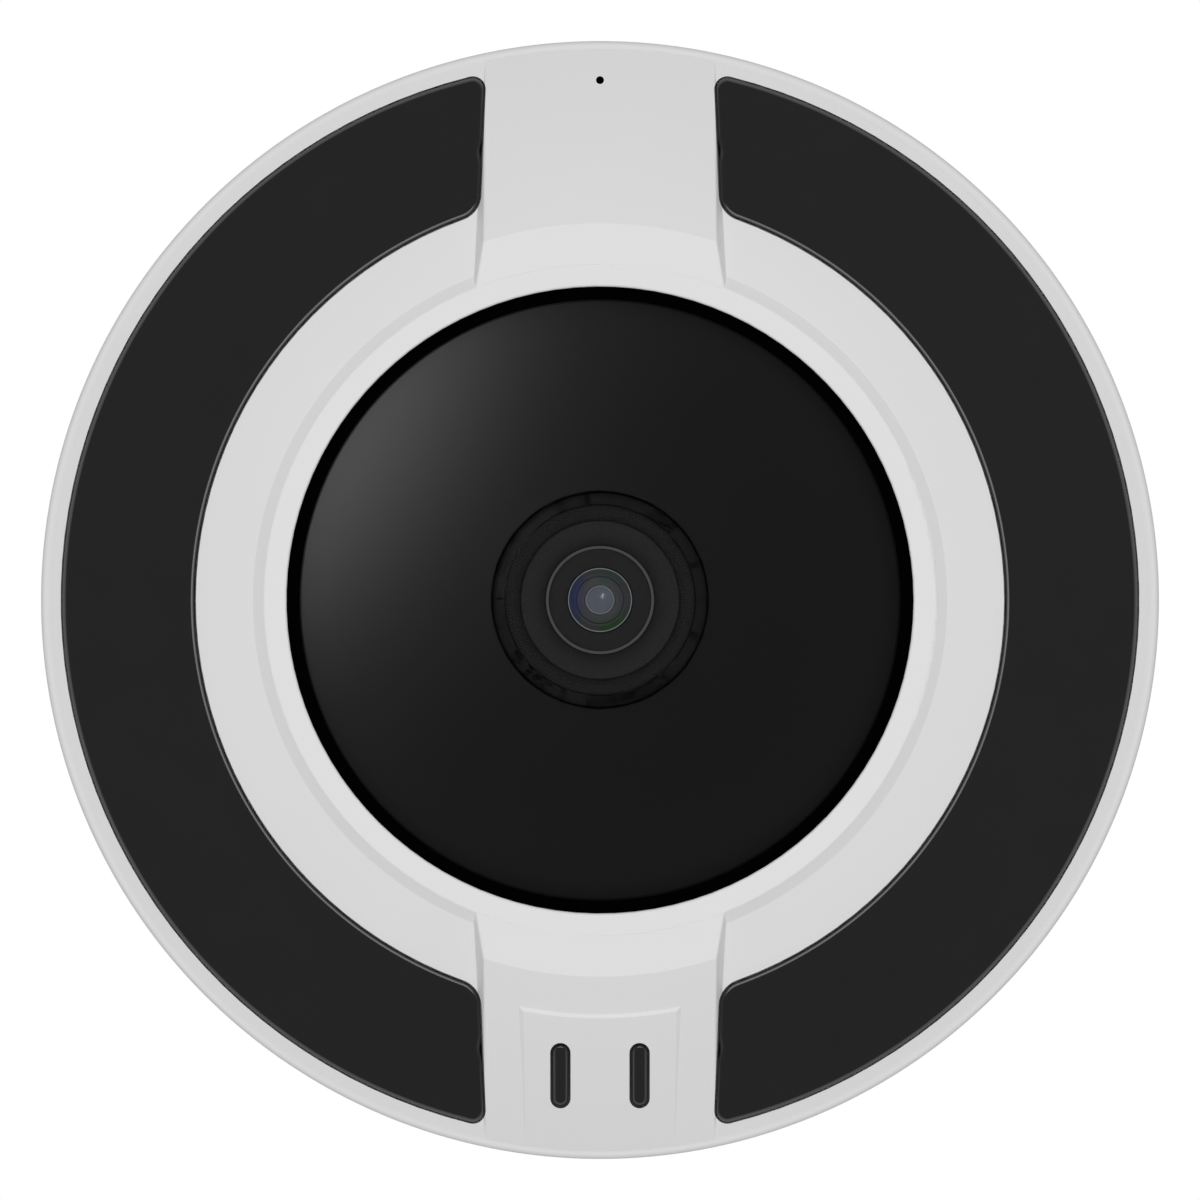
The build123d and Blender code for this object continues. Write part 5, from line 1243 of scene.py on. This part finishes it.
@dataclass
class Window:
    """Crescent infrared window that follows the cone, with rolled edges and a gate notch at each end.

    Rows run at constant radius from the inner arc to the outer arc, and each ends on the short side,
    whose curve is a corner arc, a straight line beside the bridge, and a second corner arc.
    """

    side: Side
    surface: CoverSurface
    inner: float = 55.85
    outer: float = 74.1
    inner_corner: float = 3.6
    outer_corner: float = 1.6
    foot: float = 15.7
    foot_lean: float = 0.04004
    proud: float = 0.35
    thickness: float = 2.5
    roll_width: float = 0.52
    roll_depth: float = 0.45
    notch_start: float = 60.0
    notch_length: float = 3.9
    notch_depth: float = 0.3
    corner_spans: tuple[int, int] = (20, 18)
    side_points: int = 31
    roll_columns: int = 8
    near_columns: int = 18
    near_start: float = 1.2
    near_reach: float = 12.0
    middle_columns: int = 118
    finish: Finish = FINISHES["window_black"]
    polish: Finish = InfraredAcrylic("polished acrylic edge", "#181818", 0.16, 1.49, specular=0.95)

    def corner(self, reach: float, radius: float, rounds: int = 20) -> np.ndarray:
        """Centre of a corner arc, found by going back and forth between its two distances.

        Args:
            reach: its distance from the lens axis.
            radius: its distance from the short side.
            rounds: how often z is worked out again from x.

        Returns:
            Its x and z in mm.
        """
        z = reach
        for _ in range(rounds):
            x = self.foot + self.foot_lean * (self.surface.rim_radius - z)
            x += radius * sqrt(1 + self.foot_lean ** 2)
            z = sqrt(reach ** 2 - x ** 2)
        return np.array([x, z])

    def notch(self, z: np.ndarray) -> np.ndarray:
        """Depth of the gate notch: a squared half sine along the short side, nothing outside it."""
        phase = np.clip((z - self.notch_start) / self.notch_length, 0.0, 1.0)
        return self.notch_depth * np.sin(pi * phase) ** 2

    def short_side(self) -> np.ndarray:
        """Points of the upper short side: corner arc, straight line with its notch, corner arc.

        Returns:
            Rows of x and z in mm, from the inner arc to the outer arc.
        """
        near = self.corner(self.inner + self.inner_corner, self.inner_corner)
        far = self.corner(self.outer - self.outer_corner, self.outer_corner)
        side = pi + np.arctan(self.foot_lean)
        low = arc(near, self.inner_corner, np.arctan2(near[1], near[0]) + pi, side, self.corner_spans[0])
        high = arc(far, self.outer_corner, side, np.arctan2(far[1], far[0]), self.corner_spans[1])
        share = np.linspace(0.0, 1.0, self.side_points + 2)[1:-1, None]
        between = low[-1] + (high[0] - low[-1]) * share
        between[:, 0] += self.notch(between[:, 1])
        return np.concatenate([low, between, high])

    def edge_distance(self, x: np.ndarray, z: np.ndarray) -> np.ndarray:
        """Distance from the outline: to the nearer arc or short side, or in a corner's sector to its arc.

        A corner's sector lies between the direction from its centre to the short side and the one to
        the long arc. The signs of the cross products with both say whether a point is in it.

        Args:
            x: distances from the part's middle line in mm.
            z: heights in mm.

        Returns:
            The distances in mm, 0 outside the window.
        """
        z, slant = np.abs(z), sqrt(1 + self.foot_lean ** 2)
        radius = np.hypot(x, z)
        side = (x - self.foot - self.foot_lean * (self.surface.rim_radius - z)) / slant - self.notch(z)
        distance = np.minimum(np.minimum(radius - self.inner, self.outer - radius), side)
        to_side = -np.array([1.0, self.foot_lean]) / slant
        for inwards, corner_radius, reach in ((-1.0, self.inner_corner, self.inner + self.inner_corner),
                                              (1.0, self.outer_corner, self.outer - self.outer_corner)):
            centre = self.corner(reach, corner_radius)
            across, along = x - centre[0], z - centre[1]
            to_arc = inwards * centre / reach
            turn = to_side[0] * to_arc[1] - to_side[1] * to_arc[0]
            past_side = (to_side[0] * along - to_side[1] * across) * turn >= 0
            before_arc = (across * to_arc[1] - along * to_arc[0]) * turn >= 0
            distance = np.where(past_side & before_arc, corner_radius - np.hypot(across, along), distance)
        return np.clip(distance, 0.0, None)

    def build(self) -> None:
        """Lay the grid over the cone, raised by proud less the rolled edge's drop, and close the slab.

        Columns stand close together near the short sides, so that their rolled edges run smoothly. Past
        the edge they start near_start roll widths in, and spread out to near_reach.
        """
        ends = self.short_side()
        radius, most = np.hypot(ends[:, 0], ends[:, 1]), np.arctan2(ends[:, 1], ends[:, 0])
        near = np.concatenate([self.roll_width * (1 - np.cos(np.linspace(0, pi / 2, self.roll_columns))),
                               np.geomspace(self.roll_width * self.near_start, self.near_reach,
                                            self.near_columns)])
        inset = near[None, :] / radius[:, None]
        share = np.linspace(1.0, -1.0, self.middle_columns + 2)[None, 1:-1]
        turn = np.concatenate([most[:, None] - inset, (most[:, None] - inset[:, -1:]) * share,
                               -(most[:, None] - inset)[:, ::-1]], axis=1)
        x, z = radius[:, None] * np.cos(turn), radius[:, None] * np.sin(turn)
        cone = self.surface.cone_height(radius)[:, None] + 0.0 * turn
        distance = self.edge_distance(x, z)
        drop = rolled_edge(distance, self.roll_width, self.roll_depth)
        middles = (distance[:-1, :-1] + distance[1:, 1:]) / 2
        lean, sign, word = self.surface.lean, self.side.value, self.side.name.lower()
        top = np.stack([x * sign, -(cone + (self.proud - drop) / lean), z], axis=2)
        bottom = np.stack([x * sign, -(cone + (self.proud - self.thickness) / lean), z], axis=2)
        piece = slab_between(f"window_{word}_moulded", top, bottom, (middles < self.roll_width).astype(int),
                             "cover", [self.finish, self.polish])
        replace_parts(piece, f"ir_window_{word}")


@dataclass
class SlotInsert:
    """Smoked insert in a slot: a long round-ended bar with a rolled edge and a groove round it."""

    name: str
    side: Side
    surface: CoverSurface
    node: str
    offset: float = 5.45
    near: float = 61.1
    length: float = 8.75
    width: float = 2.5
    inset: float = 0.15
    sunk: float = 0.15
    roll_width: float = 0.42
    roll_depth: float = 0.5
    depth: float = 3.3
    end_spans: int = 20
    flat_rings: int = 4
    flat_start: float = 0.1
    roll_rings: int = 7
    finish: Finish = FINISHES["insert_black"]
    polish: Finish = InfraredAcrylic("polished indicator edge", "#161616", 0.18, 1.49, specular=0.8)

    def build(self) -> None:
        """Rings from the middle line outwards, each a shrunken copy of the outline, over a straight wall."""
        half, straight = self.width / 2 - self.inset, (self.length - self.width) / 2
        flat = 1 - np.geomspace(1 - self.flat_start, self.roll_width / half, self.flat_rings)
        turn = np.linspace(0, pi / 2, self.roll_rings + 1)[1:]
        roll = 1 - self.roll_width / half * (1 - np.sin(turn))
        out = np.concatenate([[0.0], flat, roll]) * half
        unit = np.concatenate([arc((0.0, 0.0), 1.0, 0.0, pi, self.end_spans),
                               arc((0.0, 0.0), 1.0, pi, 2 * pi, self.end_spans)])
        shift = np.repeat([straight, -straight], self.end_spans + 1)
        x = out[:, None] * unit[None, :, 0]
        z = out[:, None] * unit[None, :, 1] + shift[None, :]
        place = self.near + self.length / 2
        drop = rolled_edge(half - out, self.roll_width, self.roll_depth)[:, None]
        high = self.surface.panel_height(place - z) - self.sunk - drop
        low = np.repeat(high[-1:] - self.depth + self.roll_depth, 2, axis=0)
        x = np.concatenate([x, x[-1:], 0.0 * x[-1:]]) + self.side.value * self.offset
        z = np.concatenate([z, z[-1:], 0.0 * z[-1:] + shift[None, :]]) - place
        rings, columns = x.shape
        points = np.stack([x, -np.concatenate([high, low]), z], axis=2).reshape(-1, 3)
        bands = np.repeat((np.arange(rings - 1) >= self.flat_rings).astype(int), columns)
        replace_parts(piece_from(self.name, points, ring_faces(rings, columns), "cover",
                               [self.finish, self.polish], bands), self.node)


@dataclass
class MicrophoneMesh:
    """Woven acoustic mesh across the rubber duct behind the microphone hole.

    rings and crown are its profile: shares of the radius, and of the thickness.
    """

    surface: CoverSurface
    radius: float = 0.68
    place: float = 71.6
    sunk: float = 3.2
    thickness: float = 0.2
    rings: tuple[float, ...] = (0.0, 0.35, 0.7, 1.0, 1.0, 0.0)
    crown: tuple[float, ...] = (0.05, 0.04, 0.02, 0.0, -1.0, -1.0)
    segments: int = 32
    finish: Finish = MouldedRubber("woven acoustic mesh", "#040404", 0.9, 1.2, dust=0.0005)

    def build(self) -> None:
        """A thin round disc: rings about its own centre, with a shallow crown."""
        height = float(self.surface.cone_height(np.array(self.place))) - self.sunk
        rings = np.array(self.rings)[:, None] * self.radius
        level = height + np.array(self.crown)[:, None] * self.thickness
        turn = np.linspace(0.0, 2 * pi, self.segments, endpoint=False)
        x, z = rings * np.cos(turn), rings * np.sin(turn) + self.place
        points = np.stack([x, -level + 0.0 * x, z], axis=2).reshape(-1, 3)
        piece_from("microphone_mesh", points, ring_faces(len(rings), self.segments), "camera",
                   [self.finish])


# The studio: camera, light and floor


@dataclass(frozen=True)
class Softbox:
    """One round softbox that faces the object from far away.

    towards points from the object to it, half_angle is half the angle that it fills seen from there,
    and radiance is how bright its face is, where white paper is 1.
    """

    name: str
    towards: tuple[float, float, float]
    half_angle: float
    radiance: float
    glossy: bool = True
    diffuse: bool = True
    distance_m: float = 10.0

    def hang(self) -> bpy.types.Object:
        """Make the light; its power is pi times its radiance times its area.

        Returns:
            The light.
        """
        data = bpy.data.lights.new(self.name, "AREA")
        data.shape = "DISK"
        data.size = 2.0 * self.distance_m * tan(self.half_angle)
        area = pi * (data.size / 2.0) ** 2
        data.energy = self.radiance * pi * area
        way = Vector(self.towards)
        piece = bpy.data.objects.new(self.name, data)
        piece.location = way.normalized() * self.distance_m
        piece.rotation_euler = way.to_track_quat("Z", "Y").to_euler()
        piece.visible_camera = False
        piece.visible_glossy = self.glossy
        piece.visible_diffuse = self.diffuse
        bpy.context.scene.collection.objects.link(piece)
        return piece


def linked(name: str, pieces: Sequence[bpy.types.Object], keep_off: bool = False) -> bpy.types.Collection:
    """Collect pieces for a light's linking.

    Args:
        name: the collection's name.
        pieces: the pieces that the light is meant for, or kept off.
        keep_off: whether it is kept off them, and falls on everything else.

    Returns:
        The collection.
    """
    chosen = bpy.data.collections.new(name)
    for piece in pieces:
        chosen.objects.link(piece)
    if keep_off:
        for entry in chosen.collection_objects:
            entry.light_linking.link_state = "EXCLUDE"
    return chosen


@dataclass
class Studio:
    """Even frontal studio: a wide round softbox behind the camera, a soft surround and a pale floor."""

    view_width_mm: float = 166.04
    distance_m: float = 6.0
    sensor_mm: float = 36.0
    ambient: float = 0.485
    lift: float = 0.045
    tent_radiance: float = 1.0
    tent_front: float = 0.12
    tent_from: float = radians(38.0)
    tent_to: float = radians(72.0)
    floor_m: float = -0.12
    floor_radius_m: float = 0.8
    floor_rings: int = 8
    floor_spans: int = 96
    front_box: Softbox = Softbox("front_softbox", (0.0, -1.0, 0.02), radians(31.0), 1.93)
    back_box: Softbox = Softbox("back_softbox", (0.25, 1.0, 0.2), radians(22.0), 1.6)
    wash_box: Softbox = Softbox("floor_wash", (0.0, -0.3, 1.0), radians(30.0), 2.6)
    side_box: Softbox = Softbox("upper_left_softbox", (-0.846, -0.07, 0.529), radians(32.0), 17.0,
                                diffuse=False)
    catch_box: Softbox = Softbox("catch_light", (0.22, -0.9, 0.377), radians(9.0), 5.0, diffuse=False)
    paper: Finish = SparkErodedPlastic("pale studio paper", "#E6E6E6", 0.9, 1.3, grain_mm=3.0, depth_mm=0.02)

    def camera(self) -> None:
        """Put the camera on the lens axis, level, as far back as the other views' clipping allows."""
        data = bpy.data.cameras.new("view_camera")
        data.sensor_width = self.sensor_mm
        data.lens = self.sensor_mm * self.distance_m / (self.view_width_mm * MM)
        data.clip_start = 0.1
        data.clip_end = 100.0
        piece = bpy.data.objects.new("view_camera", data)
        piece.location = (0.0, -self.distance_m, 0.0)
        piece.rotation_euler = (radians(90.0), 0.0, 0.0)
        bpy.context.scene.collection.objects.link(piece)
        bpy.context.scene.camera = piece

    def surround(self) -> None:
        """White behind the object for the camera; a dim room, lighter above, for every other ray.

        Glossy rays see a tent instead, dark in front and brighter towards the sides.
        """
        world = bpy.data.worlds.new("studio_surround")
        bpy.context.scene.world = world
        world.use_nodes = True
        tree = world.node_tree
        tree.nodes.clear()
        way = add(tree, "TexCoord").outputs["Generated"]
        height = add(tree, "SeparateXYZ", {0: way}).outputs["Z"]
        room = add(tree, "MapRange", {
            "Value": height, "From Min": -1.0, "From Max": 1.0,
            "To Min": self.ambient - self.lift, "To Max": self.ambient + self.lift})
        forward = add(tree, "SeparateXYZ", {0: way}).outputs["Y"]
        tent = add(tree, "MapRange", {
            "Value": forward, "From Min": -cos(self.tent_from), "From Max": -cos(self.tent_to),
            "To Min": self.tent_front, "To Max": self.tent_radiance}, interpolation_type="SMOOTHSTEP")
        path = add(tree, "LightPath")
        level = add(tree, "Mix", {0: path.outputs["Is Glossy Ray"], 2: room.outputs[0], 3: tent.outputs[0]})
        dim = add(tree, "Background", {"Strength": level.outputs[0]})
        white = add(tree, "Background", {"Color": WHITE, "Strength": 1.0})
        both = add(tree, "MixShader", {
            0: path.outputs["Is Camera Ray"], 1: dim.outputs[0], 2: white.outputs[0]})
        add(tree, "OutputWorld", {"Surface": both.outputs[0]})

    def floor(self) -> bpy.types.Object:
        """A pale round floor below the view: a fan round its centre, then rings at even distances.

        Returns:
            The floor.
        """
        radius = np.linspace(0.0, self.floor_radius_m, self.floor_rings + 1)[1:, None]
        turn = np.linspace(0.0, 2 * pi, self.floor_spans, endpoint=False)
        flat = np.stack([radius * np.cos(turn), radius * np.sin(turn), 0.0 * radius * turn + self.floor_m],
                        axis=2)
        first = 1 + np.arange(self.floor_spans)
        fan = np.stack([0 * first, first, np.roll(first, -1)], axis=1)
        rings = 1 + ring_faces(self.floor_rings, self.floor_spans)[:, ::-1]
        mesh = bpy.data.meshes.new("studio_floor")
        mesh.from_pydata([(0.0, 0.0, self.floor_m), *flat.reshape(-1, 3).tolist()], [],
                         fan.tolist() + rings.tolist())
        piece = bpy.data.objects.new("studio_floor", mesh)
        bpy.context.scene.collection.objects.link(piece)
        dress(piece, self.paper)
        piece.visible_glossy = False
        piece.visible_diffuse = False
        piece.visible_shadow = False
        return piece

    def build(self) -> tuple[bpy.types.Object, bpy.types.Object]:
        """Set up camera, softboxes, surround and floor.

        Returns:
            The front and the back softbox.
        """
        self.camera()
        front, back = self.front_box.hang(), self.back_box.hang()
        self.surround()
        wash = self.wash_box.hang()
        wash.light_linking.receiver_collection = linked("floor_wash_pieces", [self.floor()])
        bpy.context.scene.view_settings.view_transform = "Standard"
        LOG.info("studio is set")
        return front, back

    def flags(self, front: bpy.types.Object, back: bpy.types.Object, rim: bpy.types.Object,
              glass: bpy.types.Object) -> None:
        """Light the dome and the second glass by lamps of their own.

        The dome shows no reflection of the front softbox, only of a wide one at the upper left, and the
        second glass has one small catch light above its middle. The back softbox would only graze the
        cover's outer wall, so it is kept off that.

        Args:
            front: the front softbox.
            back: the back softbox.
            rim: the skin over the cover's outer edge.
            glass: the second glass.
        """
        dome, cover = frame["nodes"]["dome_shroud"], frame["nodes"]["front_cover"]
        front.light_linking.receiver_collection = linked("front_softbox_pieces", [dome, glass], keep_off=True)
        back.light_linking.receiver_collection = linked("back_softbox_pieces", [rim], keep_off=True)
        fill = replace(self.front_box, name="dome_fill", glossy=False).hang()
        fill.light_linking.receiver_collection = linked("dome_fill_pieces", [dome, glass])
        side = self.side_box.hang()
        side.light_linking.receiver_collection = linked("upper_left_softbox_pieces", [dome])
        side.light_linking.blocker_collection = linked("upper_left_softbox_blockers", [cover], keep_off=True)
        catch = self.catch_box.hang()
        catch.light_linking.receiver_collection = linked("catch_light_pieces", [glass])


def main() -> None:
    """Set up the studio, dress the frame's nodes, and build each sub-assembly in order."""
    logging.basicConfig(level=logging.INFO, format="%(message)s")
    studio, surface = Studio(), CoverSurface()
    front, back = studio.build()
    dress_nodes()
    glass = Lens().build()
    rim = CoverRim(surface).build()
    for part in (Collar(), ShroudSeal(), Bubble(), Window(Side.LEFT, surface), Window(Side.RIGHT, surface),
                 SlotInsert("status_lens", Side.LEFT, surface, "status_window"),
                 SlotInsert("light_sensor_lens", Side.RIGHT, surface, "light_sensor_window"),
                 MicrophoneMesh(surface)):
        part.build()
    studio.flags(front, back, rim, glass)


if __name__ == "__main__":
    main()
